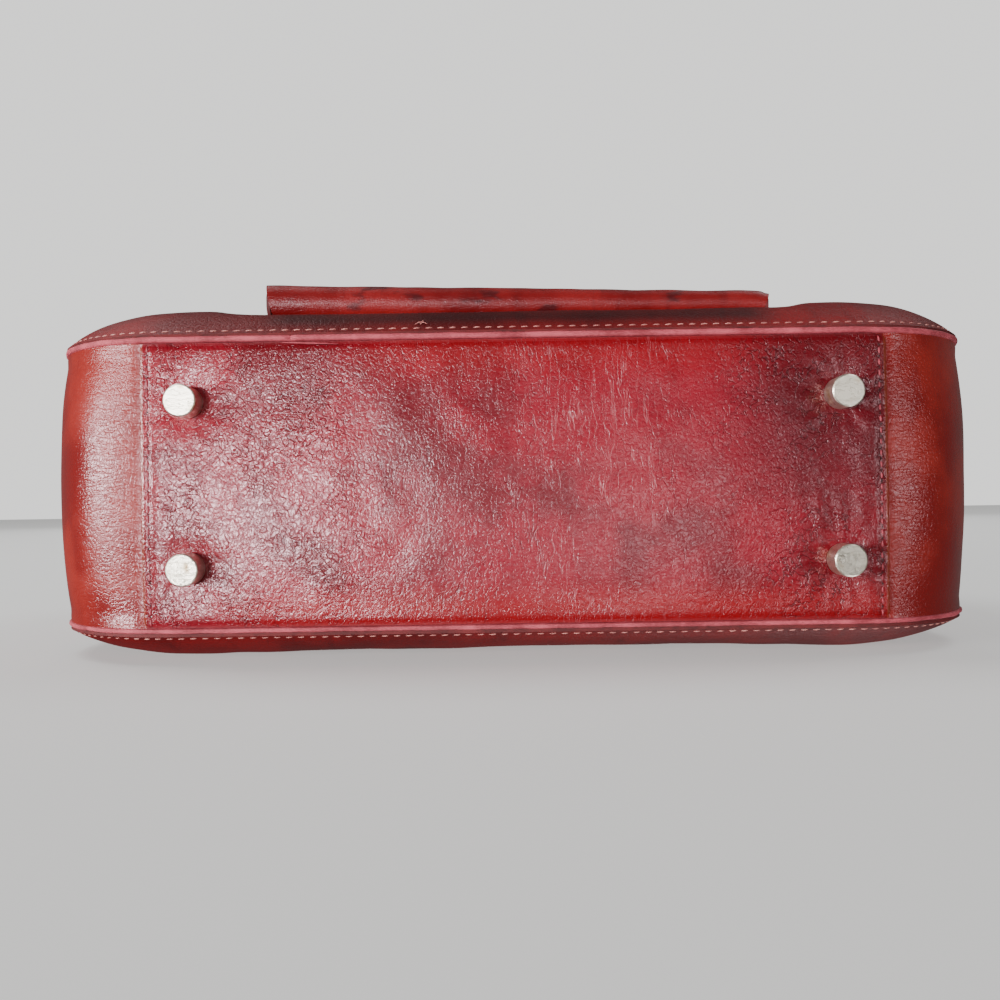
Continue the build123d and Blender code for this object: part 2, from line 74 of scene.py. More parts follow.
# Sizes of the body, read from the frame
GUSSET_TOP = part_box("gusset_right")[1]
HALF_WIDTH, HALF_DEPTH, SHOULDER_Z = GUSSET_TOP
BASE_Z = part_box("base_panel")[0].z
BASE_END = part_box("base_panel")[1].x
CORNER = 50 * MM
FLAT = HALF_WIDTH - CORNER
ARC = CORNER * math.pi / 2
RIM = FLAT + ARC + SHOULDER_Z - BASE_Z - CORNER
EDGE_OUT = 1.5 * MM
SEAM_OUT = 50.3 * MM
STITCH_IN = 2.3 * MM
CROWN_END_Z = 146 * MM
WELT_JOINTS = {"front": -74 * MM, "back": 2 * MM}
POCKET_SHIFT = 2.3 * MM
FEET = [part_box(f"foot_{place}_{side}") for place in PLACES for side in SIDES]
FEET = [((low + high) / 2).to_2d() for low, high in FEET]
WRAP_LOW, WRAP_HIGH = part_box("back_frame_wrap")
BAR_Y, BAR_Z = (WRAP_LOW.y + WRAP_HIGH.y) / 2, (WRAP_LOW.z + WRAP_HIGH.z) / 2
SHOULDER_TOP = WRAP_LOW.z + 2 * MM
SHOULDER_TOP_X = 157 * MM
SHOULDER_TOP_OUT = BAR_Y + 2.6 * MM


# Shapes that the surfaces are worked out from


def ease(low, high, value):
    """0 below low, 1 above high, and a smooth rise between."""
    share = min(max((value - low) / (high - low), 0.0), 1.0)
    return share * share * (3 - 2 * share)


def hump(value, centre, width):
    """A bell curve of height 1."""
    return math.exp(-(((value - centre) / width) ** 2))


def lumps(a, b, size, seed):
    """Soft uneven lumps about size across, between -1 and 1."""
    return noise.noise(Vector((a / size, b / size, seed)))


def blend_points(start, end, share):
    """The point that lies share of the way from start to end."""
    return start + (end - start) * share


def rim_point(along, out=0.0):
    """A point on the bag's outline, along from the base's middle, moved outwards by out."""
    side = 1 if along >= 0 else -1
    run = abs(along)
    turn = min(max((run - FLAT) / CORNER, 0.0), math.pi / 2)
    x = min(run, FLAT) + (CORNER + out) * math.sin(turn)
    z = BASE_Z + CORNER - (CORNER + out) * math.cos(turn) + max(run - FLAT - ARC, 0.0)
    return Vector((side * x, 0, z))


def seam_curl(y):
    """How far a strip's long edges turn outwards into the seam."""
    return 0.7 * MM * ease(HALF_DEPTH - 5 * MM, HALF_DEPTH - 0.2 * MM, abs(y))


def base_relief(x, y):
    """How far the base leather stands out, with dents and puckers at the feet."""
    lift = 0.7 * MM * (1 - (y / HALF_DEPTH) ** 2)
    lift -= 0.5 * MM * ease(HALF_DEPTH - 2.6 * MM, HALF_DEPTH - 0.2 * MM, abs(y))
    lift += 0.24 * MM * lumps(x, y, 38 * MM, 1.0) + 0.16 * MM * lumps(x, y, 11 * MM, 4.0)
    for foot in FEET:
        reach = math.hypot(x - foot.x, y - foot.y)
        angle = math.atan2(y - foot.y, x - foot.x)
        lift -= 0.7 * MM * hump(reach, 3 * MM, 7 * MM)
        folds = math.sin(11 * angle + 4 * lumps(x, y, 12 * MM, 7.0))
        strength = 0.17 if foot.x > 0 else 0.06
        lift += strength * MM * folds * hump(reach, 11 * MM, 6 * MM)
    near_end = ease(84 * MM, 104 * MM, x)
    arcs = math.sin((x - 0.05 * abs(y)) / (1.05 * MM) + 4 * lumps(x, y, 17 * MM, 9.0))
    lift += 0.14 * MM * arcs * near_end * ease(-0.1, 0.5, lumps(x, y, 24 * MM, 2.0))
    inset = BASE_END - abs(x)
    lift += 0.6 * MM * ease(14 * MM, 4 * MM, inset) - 0.45 * MM * hump(inset, 0, 0.6 * MM)
    return lift - 0.6 * MM * hump(inset, 2.5 * MM, 0.6 * MM)


def base_at(along, y):
    """Outer face of the base leather."""
    point = rim_point(along, base_relief(rim_point(along).x, y))
    point.y = y
    return point


def gusset_at(along, y):
    """Outer face of a gusset: it swells between its seams and dips under the base leather."""
    z = rim_point(along).z
    past_lap = abs(along) - BASE_END
    swell = ease(-2 * MM, 30 * MM, past_lap) * ease(140 * MM, 108 * MM, z)
    fullness = (3.6 if along < 0 else 2.9) * MM
    lift = fullness * swell * (1 - abs(y / HALF_DEPTH) ** 2.6) + seam_curl(y)
    lift += 0.4 * MM * swell * lumps(along, y, 26 * MM, 3.0)
    lift -= 0.9 * MM * ease(3 * MM, -3 * MM, past_lap)
    point = rim_point(along, lift)
    point.y = y
    return point


def pocket_shadow(x, z):
    """1 on the part of the front panel that lies flat behind the pocket."""
    height = ease(18 * MM, 36 * MM, z) * ease(175 * MM, 155 * MM, z)
    return ease(106 * MM, 86 * MM, abs(x)) * height


def panel_at(place, x, z):
    """Outer face of the front or back leather, from its seam up to the mouth frame."""
    sign = PLACES[place]
    corner_x, corner_z = max(abs(x) - FLAT, 0.0), max(BASE_Z + CORNER - z, 0.0)
    reach = math.hypot(corner_x, corner_z)
    half = HALF_WIDTH + (SHOULDER_TOP_X - HALF_WIDTH) * max(z - SHOULDER_Z, 0) / (SHOULDER_TOP - SHOULDER_Z)
    if corner_x and corner_z:
        inset = CORNER + EDGE_OUT - reach
    else:
        inset = EDGE_OUT + min(half - abs(x), z - BASE_Z)
    if place == "front":
        crown = 12.2 * MM - 4.4 * MM * pocket_shadow(x, z)
    else:
        crown = 8.6 * MM
    rise = min(max((inset - 0.6 * MM) / (38 * MM), 0.0), 1.0)
    swell = crown * (1 - (1 - rise) ** 2.8)
    climb = max(z - CROWN_END_Z, 0.0) / (SHOULDER_TOP - CROWN_END_Z)
    swell *= (1 - climb) ** 1.35
    bend = (3 + 15 * ease(2 * MM, 26 * MM, inset)) * MM
    over = (math.hypot(z - SHOULDER_Z, bend) + z - SHOULDER_Z) / 2
    over -= (math.hypot(SHOULDER_TOP - SHOULDER_Z, bend) - SHOULDER_TOP + SHOULDER_Z) / 2
    over /= SHOULDER_TOP - SHOULDER_Z
    depth = SEAM_OUT + (SHOULDER_TOP_OUT - SEAM_OUT) * over + swell
    depth -= 0.3 * MM * hump(inset, STITCH_IN, 0.8 * MM)
    calm = ease(4 * MM, 22 * MM, inset) * (1 - 0.6 * pocket_shadow(x, z) * (sign < 0))
    depth += 0.9 * MM * calm * lumps(x, z, 46 * MM, 5.0 + sign)
    depth += 0.3 * MM * calm * lumps(x, z, 15 * MM, 8.0 + sign)
    slack = ease(150 * MM, 178 * MM, z) * ease(226 * MM, 205 * MM, z)
    depth += 1.5 * MM * slack * calm * lumps(x, z * 21 / 75, 21 * MM, 11.0 + sign)
    return Vector((x, sign * depth, z))


def round_corner(a, b):
    """Bends the square corner where a and b are over 0 into a quarter circle of radius 1."""
    if a > 0 and b > 0:
        return a * math.sqrt(1 - b * b / 2), b * math.sqrt(1 - a * a / 2)
    return a, b


def outline_spot(across, up):
    """Bends a rectangle with across in -1 to 1 and up in 0 to 1 into the panel's outline."""
    grow = EDGE_OUT - 0.6 * MM
    low = BASE_Z - grow
    x, z = across * (HALF_WIDTH + grow), low + up * (SHOULDER_TOP - low)
    size = CORNER + grow
    a, b = round_corner((abs(x) - FLAT) / size, (BASE_Z + CORNER - z) / size)
    x, z = math.copysign(FLAT + size * a, x), BASE_Z + CORNER - size * b
    if z > SHOULDER_Z:
        x *= 1 - (1 - SHOULDER_TOP_X / HALF_WIDTH) * (z - SHOULDER_Z) / (SHOULDER_TOP - SHOULDER_Z)
    return x, z


# Modelling


def deselect():
    """Clears the selection, because an operator acts on all that is selected."""
    bpy.ops.object.select_all(action="DESELECT")


def pick(piece):
    """Makes one piece the selected and active object."""
    deselect()
    piece.select_set(True)
    bpy.context.view_layer.objects.active = piece


def edit(piece, *operations):
    """Runs mesh operators on the whole of a piece in edit mode."""
    pick(piece)
    bpy.ops.object.mode_set(mode="EDIT")
    bpy.ops.mesh.select_all(action="SELECT")
    for operation, options in operations:
        operation(**options)
    bpy.ops.object.mode_set(mode="OBJECT")


def finish_with(piece, kind, **settings):
    """Adds one modifier and applies it."""
    pick(piece)
    modifier = piece.modifiers.new(kind.title(), kind)
    for key, value in settings.items():
        setattr(modifier, key, value)
    bpy.ops.object.modifier_apply(modifier=modifier.name)


def smooth(piece, angle=48):
    """Shades a piece smooth, except across sharp edges."""
    pick(piece)
    bpy.ops.object.shade_smooth_by_angle(angle=math.radians(angle))


def lay(name, columns, rows, place, size=(1.0, 1.0), flip=False):
    """Adds a flat grid and moves each point to place(u, v), with u and v in 0 to 1."""
    deselect()
    bpy.ops.mesh.primitive_grid_add(x_subdivisions=columns, y_subdivisions=rows, size=1)
    piece = bpy.context.object
    piece.name = piece.data.name = name
    for vertex in piece.data.vertices:
        vertex.co = place(vertex.co.x + 0.5, vertex.co.y + 0.5)
    for corner in piece.data.uv_layers[0].data:
        corner.uv = corner.uv.x * size[0], corner.uv.y * size[1]
    if flip:
        edit(piece, (bpy.ops.mesh.flip_normals, {}))
    return piece


def hide(piece, thickness, looks, bevel=0.0, inward=-1):
    """Gives a laid skin its thickness. looks are its face, its back and its cut edge."""
    for look in looks:
        piece.data.materials.append(look)
    finish_with(piece, "SOLIDIFY", thickness=thickness, offset=inward, material_offset=1,
                material_offset_rim=2)
    if bevel:
        finish_with(piece, "BEVEL", width=bevel, segments=2, limit_method="ANGLE",
                    angle_limit=math.radians(50))
    smooth(piece)
    return piece


def tube(name, columns, rows, place, look, size=(1.0, 1.0)):
    """A closed tube whose section is place(u, v) at v from 0 to 1, with both ends capped."""
    piece = lay(name, columns, rows, place, size)
    mesh = bpy.ops.mesh
    edit(
        piece,
        (mesh.remove_doubles, {"threshold": 0.01 * MM}),
        (mesh.fill_holes, {"sides": 0}),
        (mesh.normals_make_consistent, {"inside": False}),
    )
    piece.data.materials.append(look)
    smooth(piece)
    return piece


def spots_on(surface, route, outward=1):
    """Centre, direction and outward normal for each point of a route on a surface."""
    step = 0.2 * MM
    found = []
    for index, (a, b) in enumerate(route):
        before, after = route[max(index - 1, 0)], route[min(index + 1, len(route) - 1)]
        along = (surface(*after) - surface(*before)).normalized()
        across_a = surface(a + step, b) - surface(a - step, b)
        across_b = surface(a, b + step) - surface(a, b - step)
        found.append((surface(a, b), along, across_a.cross(across_b).normalized() * outward))
    return found


def sew(name, spots, look, length=3.1 * MM, radius=0.33 * MM, slant=0.16, sink=0.0, sag=0.3 * MM):
    """One thread's stitches: a bead of thread is modelled once and copied to every spot."""
    deselect()
    bpy.ops.mesh.primitive_uv_sphere_add(segments=8, ring_count=6, radius=1)
    bead = bpy.context.object
    corners = [vertex.co.copy() for vertex in bead.data.vertices]
    sides = [tuple(face.vertices) for face in bead.data.polygons]
    bpy.data.objects.remove(bead)
    points, faces = [], []
    for centre, along, out in spots:
        across = out.cross(along)
        forward = (along + across * slant).normalized()
        aside = out.cross(forward)
        first = len(points)
        for corner in corners:
            fall = sag * corner.z * corner.z
            points.append(
                centre + forward * corner.z * length / 2 + aside * corner.x * radius
                + out * (corner.y * radius - fall - sink)
            )
        faces += [tuple(first + i for i in side) for side in sides]
    mesh = bpy.data.meshes.new(name)
    mesh.from_pydata(points, [], faces)
    thread = bpy.data.objects.new(name, mesh)
    bpy.context.scene.collection.objects.link(thread)
    edit(thread, (bpy.ops.mesh.normals_make_consistent, {"inside": False}))
    mesh.materials.append(look)
    smooth(thread, 80)
    return thread


def steps(start, end, pitch):
    """Evenly spaced values from start to end, about pitch apart."""
    count = max(round(abs(end - start) / pitch), 1)
    return [start + (end - start) * index / count for index in range(count + 1)]


# Materials


class Wire:
    """A socket of one material. Arithmetic on it adds Math nodes."""

    def __init__(self, tree, socket=None):
        self.tree, self.socket = tree, socket

    def node(self, kind, settings=None, inputs=None, output=0):
        """Adds a node, sets it up, feeds its sockets and returns one of its outputs."""
        made = self.tree.nodes.new(kind)
        for key, value in (settings or {}).items():
            if key == "stops":
                while len(made.color_ramp.elements) < len(value):
                    made.color_ramp.elements.new(0.5)
                for element, (position, colour) in zip(made.color_ramp.elements, value):
                    element.position, element.color = position, colour
            else:
                setattr(made, key, value)
        for key, value in (inputs or {}).items():
            if isinstance(value, Wire):
                self.tree.links.new(value.socket, made.inputs[key])
            else:
                made.inputs[key].default_value = value
        return Wire(self.tree, made.outputs[output])

    def maths(self, operation, first, second=0.0, third=0.0):
        """One Math node."""
        return self.node("ShaderNodeMath", {"operation": operation}, {0: first, 1: second, 2: third})

    def __add__(self, other):
        return self.maths("ADD", self, other)

    __radd__ = __add__

    def __sub__(self, other):
        return self.maths("SUBTRACT", self, other)

    def __rsub__(self, other):
        return self.maths("SUBTRACT", other, self)

    def __mul__(self, other):
        return self.maths("MULTIPLY", self, other)

    __rmul__ = __mul__

    def between(self, low, high):
        """0 below low and 1 above high, smoothly."""
        settings = {"interpolation_type": "SMOOTHSTEP"}
        return self.node("ShaderNodeMapRange", settings, {"Value": self, "From Min": low, "From Max": high})

    def mix(self, first, second, blend="MIX"):
        """Colour between first and second, by this value."""
        settings = {"data_type": "RGBA", "blend_type": blend}
        return self.node("ShaderNodeMix", settings, {0: self, 6: first, 7: second}, output=2)


def tone(red, green, blue):
    """A linear colour from screen values of 0 to 255."""
    return tuple(((value / 255 + 0.055) / 1.055) ** 2.4 for value in (red, green, blue)) + (1.0,)


def start_look(name):
    """A new material, its shader, and its object coordinates in millimetres."""
    look = bpy.data.materials.new(name)
    look.use_nodes = True
    wire = Wire(look.node_tree)
    place = wire.node("ShaderNodeTexCoord", output="Object")
    scaled = wire.node("ShaderNodeVectorMath", {"operation": "SCALE"}, {0: place, "Scale": 1 / MM})
    return look, look.node_tree.nodes["Principled BSDF"], scaled


def feed(shader, **inputs):
    """Sets or links sockets of the shader, named with underscores for spaces."""
    for key, value in inputs.items():
        socket = shader.inputs[key.replace("_", " ")]
        if isinstance(value, Wire):
            value.tree.links.new(value.socket, socket)
        else:
            socket.default_value = value


def stretch(place, x=1.0, y=1.0, z=1.0):
    """Coordinates scaled along each axis."""
    return place.node("ShaderNodeVectorMath", {"operation": "MULTIPLY"}, {0: place, 1: (x, y, z)})


def cloud(place, size, detail=3.0, rough=0.55):
    """Noise with features about size millimetres across."""
    inputs = {"Vector": place, "Scale": 1 / size, "Detail": detail, "Roughness": rough}
    return place.node("ShaderNodeTexNoise", inputs=inputs)


def warp(place, size, amount):
    """Coordinates pushed about by noise, so that a pattern on them is uneven."""
    push = place.node("ShaderNodeTexNoise", inputs={"Vector": place, "Scale": 1 / size, "Detail": 2.0},
                      output="Color")
    middle = push.node("ShaderNodeVectorMath", {"operation": "SUBTRACT"}, {0: push, 1: (0.5, 0.5, 0.5)})
    return place.node("ShaderNodeVectorMath", {"operation": "MULTIPLY_ADD"},
                      {0: middle, 1: (amount, amount, amount), 2: place})


def cells(place, size):
    """Distance to the nearest wall between uneven cells about size across, in cell sizes."""
    inputs = {"Vector": place, "Scale": 1 / size, "Randomness": 1.0}
    return place.node("ShaderNodeTexVoronoi", {"feature": "DISTANCE_TO_EDGE"}, inputs)


def relief(height, distance):
    """A bump of that many metres between height 0 and 1."""
    return height.node("ShaderNodeBump", inputs={"Strength": 1.0, "Distance": distance, "Height": height})


def axis_of(place, name):
    """One coordinate."""
    return place.node("ShaderNodeSeparateXYZ", inputs={0: place}, output=name)


def creases(place, size, width):
    """Thin wandering lines about size apart, 1 on a line and 0 beside it."""
    level = cloud(place, size, 2.0, 0.5) - 0.5
    return 1 - level.maths("ABSOLUTE", level).between(0.0, width)


# The dyed finish tints the light that glances off it
SHEEN = (1.0, 0.72, 0.77, 1.0)


def base_leather():
    """Crimson leather, pebbled at the ends and finely creased across its middle."""
    look, shader, place = start_look("base_leather")
    x, y = axis_of(place, "X"), axis_of(place, "Y")
    # Zones of the base, in millimetres from its middle: creased upright, painted light near the seams, and darker
    upright = x.between(-66, -30) * (1 - x.between(58, 84))
    low_strip = y.between(30, 45) * x.between(-112, -70)
    top_middle = (1 - y.between(-46, -28)) * x.between(-70, -30)
    painted_light_strips = low_strip + 0.7 * top_middle
    dusk = x.between(56, 92) * (1 - y.between(-14, 22)) + 0.35 * x.between(72, 100)
    # Creases, grain and wear, with painted shade darkening the creases
    patches = cloud(place, 15.0, 3.0).between(0.4, 0.62)
    net = creases(stretch(warp(place, 7.0, 5.0), 1.0, 0.9, 0.4), 3.2, 0.042) * (0.3 + patches * 0.7)
    fine_net = creases(stretch(warp(place, 3.0, 2.0), 0.9, 1.1, 0.4), 1.3, 0.07)
    long_folds = creases(stretch(warp(place, 16.0, 6.0), 1.0, 0.14, 0.4), 3.0, 0.022) * patches
    pebble = cells(stretch(warp(place, 3.0, 1.8), 1.0, 0.8, 0.5), 1.5).between(0.0, 0.3)
    worn = cloud(place, 26.0, 4.0)
    spots = cloud(place, 1.3, 4.0).between(0.6, 0.72)
    colour = worn.between(0.36, 0.62).mix(tone(98, 4, 17), tone(132, 10, 29))
    # Painted light: a brighter red on strips by the seams, where the leather turns and catches light
    colour = painted_light_strips.maths("MINIMUM", painted_light_strips, 1.0).mix(colour, tone(136, 8, 16))
    colour = (dusk * 0.6).mix(colour, tone(70, 2, 12))
    lines = net * (1 - 0.7 * upright) + long_folds * upright * 0.6
    # Painted shade: the crease lines darken the colour towards near black
    colour = (lines * 0.62 + fine_net * 0.12).mix(colour, tone(38, 1, 6))
    # Pale pink on the upright folds: partly their rubbed finish, partly a painted highlight on their ridges
    tips = long_folds * x.between(4, 18) * (1 - x.between(42, 58))
    colour = (tips * 0.4).mix(colour, tone(190, 84, 92))
    colour = (spots * 0.3).mix(colour, tone(64, 3, 10))
    # Darker towards the seams, a painted shadow line against each welt, painted shade in the groove by each lap's
    # stitches, then the bare edge of each lap
    edge = y.maths("ABSOLUTE", y)
    colour = (edge.between(41, 47) * 0.35).mix(colour, tone(84, 4, 12))
    # Painted shadow: a near-black line where the base meets the welt
    colour = (edge.between(47.4, 48.6) * 0.9).mix(colour, tone(14, 1, 3))
    inset = BASE_END / MM - x.maths("ABSOLUTE", x)
    # Painted shade in the groove along each lap's stitches
    groove = inset.between(1.7, 2.4) * (1 - inset.between(2.6, 3.3))
    colour = (groove * 0.3).mix(colour, tone(40, 2, 8))
    colour = ((1 - inset.between(0.5, 1.3)) * 0.75).mix(colour, tone(116, 46, 26))
    grain = cloud(place, 0.7, 1.0) * 0.24 + cloud(place, 2.2, 2.0, 0.5) * 0.55
    height = grain - lines * 0.7 - fine_net * 0.2 + pebble * (0.25 - 0.12 * upright)
    rough = 0.19 + worn * 0.06 + edge.between(46, 48) * 0.4
    feed(shader, Base_Color=colour, Roughness=rough, Specular_IOR_Level=0.5, Specular_Tint=SHEEN,
         Normal=relief(height, 0.12 * MM))
    return look


def smooth_leather(name, dark, light, edge, grain=1.2, depth=0.12 * MM, rough=0.36, wear=0.0, shine=0.55,
                   painted_gap_shadow=0.0):
    """Tanned leather with fine grain, uneven dye and darker handling marks.

    wear is how stained the low parts are, and the last argument sets how dark the painted shadow is in the gap
    behind the pocket.
    """
    look, shader, place = start_look(name)
    patches = cloud(place, 34.0, 4.0).between(0.36, 0.64)
    streaks = cloud(stretch(place, 1.0, 0.25, 0.25), 5.0, 4.0)
    pebble = 1 - cells(warp(place, 4.0, 1.2), grain).between(0.0, 0.2)
    pores = cloud(place, 0.4, 2.0)
    colour = patches.mix(dark, light)
    colour = (streaks.between(0.55, 0.7) * 0.35).mix(colour, edge)
    colour = (pebble * 0.25).mix(colour, dark)
    if wear:
        low = 1 - axis_of(place, "Z").between(38, 50)
        stain = cloud(stretch(place, 0.5, 1.0, 1.0), 8.0, 3.0).between(0.56, 0.66)
        colour = (stain * (low * wear + 0.12)).mix(colour, tone(40, 8, 12))
    # Painted shadow: near black in the gap under the pocket's folded bottom, on the panel and on the roll's lower
    # side
    if painted_gap_shadow:
        depth_in, across = axis_of(place, "Y"), axis_of(place, "X") - POCKET_SHIFT / MM
        gap = depth_in.between(-70.5, -64) * (1 - depth_in.between(-56, -50))
        gap = gap * (1 - axis_of(place, "Z").between(14, 34))
        gap = gap * (1 - across.maths("ABSOLUTE", across).between(76, 92))
        colour = (gap * painted_gap_shadow).mix(colour, tone(16, 1, 3))
    wrinkles = creases(stretch(warp(place, 9.0, 3.0), 0.25, 1.4, 0.4), 2.6, 0.05)
    height = cloud(place, 2.4, 2.0) * 0.7 - pebble * 0.3 - wrinkles * 0.3 + pores * 0.1
    feed(shader, Base_Color=colour, Roughness=rough + patches * 0.1, Specular_IOR_Level=shine,
         Specular_Tint=SHEEN, Normal=relief(height, depth))
    return look


def raw_edge(name, dark, light):
    """The fibrous cut edge of dyed leather."""
    look, shader, place = start_look(name)
    fibres = cloud(stretch(place, 0.5, 3.0, 0.5), 0.5, 4.0)
    patches = cloud(place, 9.0, 3.0)
    colour = (fibres * 0.5 + patches * 0.5).between(0.36, 0.62).mix(dark, light)
    feed(shader, Base_Color=colour, Roughness=0.62 + fibres * 0.2, Normal=relief(fibres, 0.1 * MM))
    return look


def suede(name, dark, light):
    """The napped flesh side of leather."""
    look, shader, place = start_look(name)
    nap = cloud(place, 0.6, 4.0)
    colour = (nap * 0.6 + cloud(place, 14.0) * 0.4).mix(dark, light)
    feed(shader, Base_Color=colour, Roughness=0.9, Normal=relief(nap, 0.12 * MM))
    return look


def thread(name, dark, light):
    """Twisted waxed thread."""
    look, shader, place = start_look(name)
    ply = cloud(stretch(place, 1.6, 1.6, 1.6), 0.4, 2.0)
    colour = (ply * 0.6 + cloud(place, 12.0) * 0.4).between(0.35, 0.65).mix(dark, light)
    feed(shader, Base_Color=colour, Roughness=0.55, Normal=relief(ply, 0.1 * MM))
    return look


def nickel():
    """Nickel plate: softly brushed, scuffed, and worn to brass in places."""
    look, shader, place = start_look("nickel")
    brushed = cloud(stretch(warp(place, 14.0, 3.0), 0.5, 5.0, 2.0), 0.9, 4.0)
    scuffs = creases(stretch(warp(place, 4.0, 3.0), 0.35, 1.6, 1.0), 2.6, 0.025)
    rubbed = cloud(place, 6.0, 4.0).between(0.55, 0.72)
    colour = rubbed.mix(tone(236, 228, 212), tone(196, 168, 128))
    colour = (brushed.between(0.4, 0.7) * 0.25 + scuffs * 0.35).mix(colour, tone(160, 142, 118))
    feed(shader, Base_Color=colour, Metallic=1.0, Roughness=0.3 + brushed * 0.14 + rubbed * 0.1,
         Normal=relief(brushed * 0.5 - scuffs, 0.025 * MM))
    return look


def steel():
    """Plain drawn steel with a fine lengthwise grain."""
    look, shader, place = start_look("steel")
    lines = cloud(stretch(place, 0.06, 4.0, 4.0), 0.8, 4.0)
    colour = lines.mix(tone(150, 148, 144), tone(196, 192, 186))
    feed(shader, Base_Color=colour, Metallic=1.0, Roughness=0.3 + lines * 0.2,
         Normal=relief(lines, 0.02 * MM))
    return look


def twill():
    """Tan cotton twill for the lining."""
    look, shader, place = start_look("lining_twill")
    slant = axis_of(place, "X") + axis_of(place, "Z") + axis_of(place, "Y")
    ribs = slant.maths("SINE", slant * (2 * math.pi / 1.1)) * 0.5 + 0.5
    slub = cloud(stretch(place, 0.3, 1.0, 2.0), 0.9, 3.0)
    colour = (ribs * 0.5 + slub * 0.5).mix(tone(120, 88, 60), tone(176, 142, 104))
    feed(shader, Base_Color=colour, Roughness=0.9, Normal=relief(ribs * 0.6 + slub * 0.4, 0.12 * MM))
    return look


def plain(name, dark, light, size, rough):
    """A quiet material for the hidden board and cord, and for the dark beads of painted shade in the needle holes.
    """
    look, shader, place = start_look(name)
    feed(shader, Base_Color=cloud(place, size).mix(dark, light), Roughness=rough)
    return look


BASE = base_leather()
GUSSET = smooth_leather("gusset_leather", tone(104, 14, 12), tone(134, 30, 20), tone(90, 10, 13),
                        grain=1.5, depth=0.12 * MM, rough=0.24)
PANEL = smooth_leather("panel_leather", tone(82, 8, 11), tone(108, 15, 17), tone(58, 6, 9),
                       grain=1.5, depth=0.16 * MM, rough=0.44, shine=0.12, painted_gap_shadow=0.75)
TRIM = smooth_leather("trim_leather", tone(90, 10, 12), tone(122, 20, 20), tone(64, 6, 9),
                      grain=1.0, depth=0.1 * MM, rough=0.34, wear=0.6, shine=0.4, painted_gap_shadow=0.8)
PINK = raw_edge("raw_edge", tone(126, 34, 44), tone(184, 76, 88))
DARK_EDGE = raw_edge("painted_edge", tone(70, 14, 16), tone(104, 26, 28))
FLESH = suede("flesh_side", tone(92, 40, 34), tone(140, 70, 58))
SEAM_THREAD = thread("seam_thread", tone(140, 70, 68), tone(200, 132, 122))
DARK_THREAD = thread("dark_thread", tone(122, 30, 42), tone(168, 62, 74))
HOLE_SHADE = plain("needle_hole", tone(24, 4, 6), tone(34, 8, 10), 2.0, 0.9)
NICKEL = nickel()
STEEL = steel()
TWILL = twill()
BOARD = plain("fibre_board", tone(96, 78, 58), tone(130, 108, 82), 2.0, 0.85)
CORD = plain("core_cord", tone(150, 136, 110), tone(190, 176, 150), 1.0, 0.85)


# Leather of the body


def make_base():
    """Base leather between its two laps, with the stitched ends."""
    half = FLAT + CORNER * math.asin((BASE_END - FLAT) / CORNER)

    def place(u, v):
        return base_at((2 * u - 1) * half, (2 * v - 1) * HALF_DEPTH)

    leather = lay("base_leather", 250, 96, place, (2 * half, 2 * HALF_DEPTH), flip=True)
    hide(leather, 1.5 * MM, (BASE, FLESH, DARK_EDGE))
    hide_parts("base_panel")
    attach(leather, "bag_body")
    row_end, pitch = 45.5 * MM, 3.8 * MM
    for side, sign in SIDES.items():
        row = [(sign * (half - 2.5 * MM), y) for y in steps(-row_end, row_end, pitch)]
        spots = spots_on(base_at, row, -1)
        stitches = sew(f"base_stitches_{side}", spots, DARK_THREAD, 2.6 * MM, 0.38 * MM, 0.06, -0.22 * MM)
        between = [(a, b + pitch / 2) for a, b in row[:-1]]
        # Dark beads between the stitches paint the shade inside the needle holes
        holes = sew(f"needle_holes_{side}", spots_on(base_at, between, -1), HOLE_SHADE, 1.2 * MM, 0.5 * MM,
                    0.0, 0.1 * MM, 0.0)
        for piece in (stitches, holes):
            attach(piece, "bag_body")


def make_gussets():
    """Gussets from under the base leather, round the corners and up to the shoulder."""
    start = BASE_END - 8 * MM
    for side, sign in SIDES.items():

        def place(u, v, sign=sign):
            return gusset_at(sign * blend_points(start, RIM, u), (2 * v - 1) * HALF_DEPTH)

        leather = lay(f"gusset_leather_{side}", 130, 64, place, (RIM - start, 2 * HALF_DEPTH), flip=sign > 0)
        hide(leather, 1.4 * MM, (GUSSET, FLESH, DARK_EDGE))
        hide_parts(f"gusset_{side}")
        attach(leather, "bag_body")


def welt_joint(place, x):
    """The notch where the two ends of a seam's edge strip meet."""
    return 1.1 * MM * hump(x, WELT_JOINTS[place], 0.7 * MM)


def make_edge_welts():
    """Raw edge strips that stand out of the seams, a little uneven in height and thickness."""
    for place, sign in PLACES.items():
        inner = HALF_DEPTH - 0.3 * MM
        thick = (2.2 if place == "front" else 1.8) * MM

        def ring(u, v, place=place, sign=sign, inner=inner, thick=thick):
            along = (2 * u - 1) * RIM
            angle = 2 * math.pi * v
            x = rim_point(along).x
            wave = lumps(along, sign, 16 * MM, 2.0) + 0.5 * lumps(along, sign, 4 * MM, 6.0)
            frayed = 0.5 * MM * lumps(along, 0, 2.5 * MM, 3.0) * hump(x, 75 * MM, 10 * MM) * (sign < 0)
            out = EDGE_OUT + 0.28 * MM * wave - welt_joint(place, x) + frayed
            width = (out + 3.4 * MM) / 2
            section = Vector((math.cos(angle), math.sin(angle)))
            section = Vector([math.copysign(abs(part) ** 0.55, part) for part in section])
            point = rim_point(along, out - width + width * section.x)
            body = thick * (1 + 0.12 * lumps(along, sign, 9 * MM, 9.0))
            point.y = sign * (inner + body / 2 + body / 2 * section.y)
            return point

        welt = tube(f"{place}_welt", 420, 14, ring, PINK, (2 * RIM, 0.012))
        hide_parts(f"{place}_edge_welt")
        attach(welt, "bag_body")


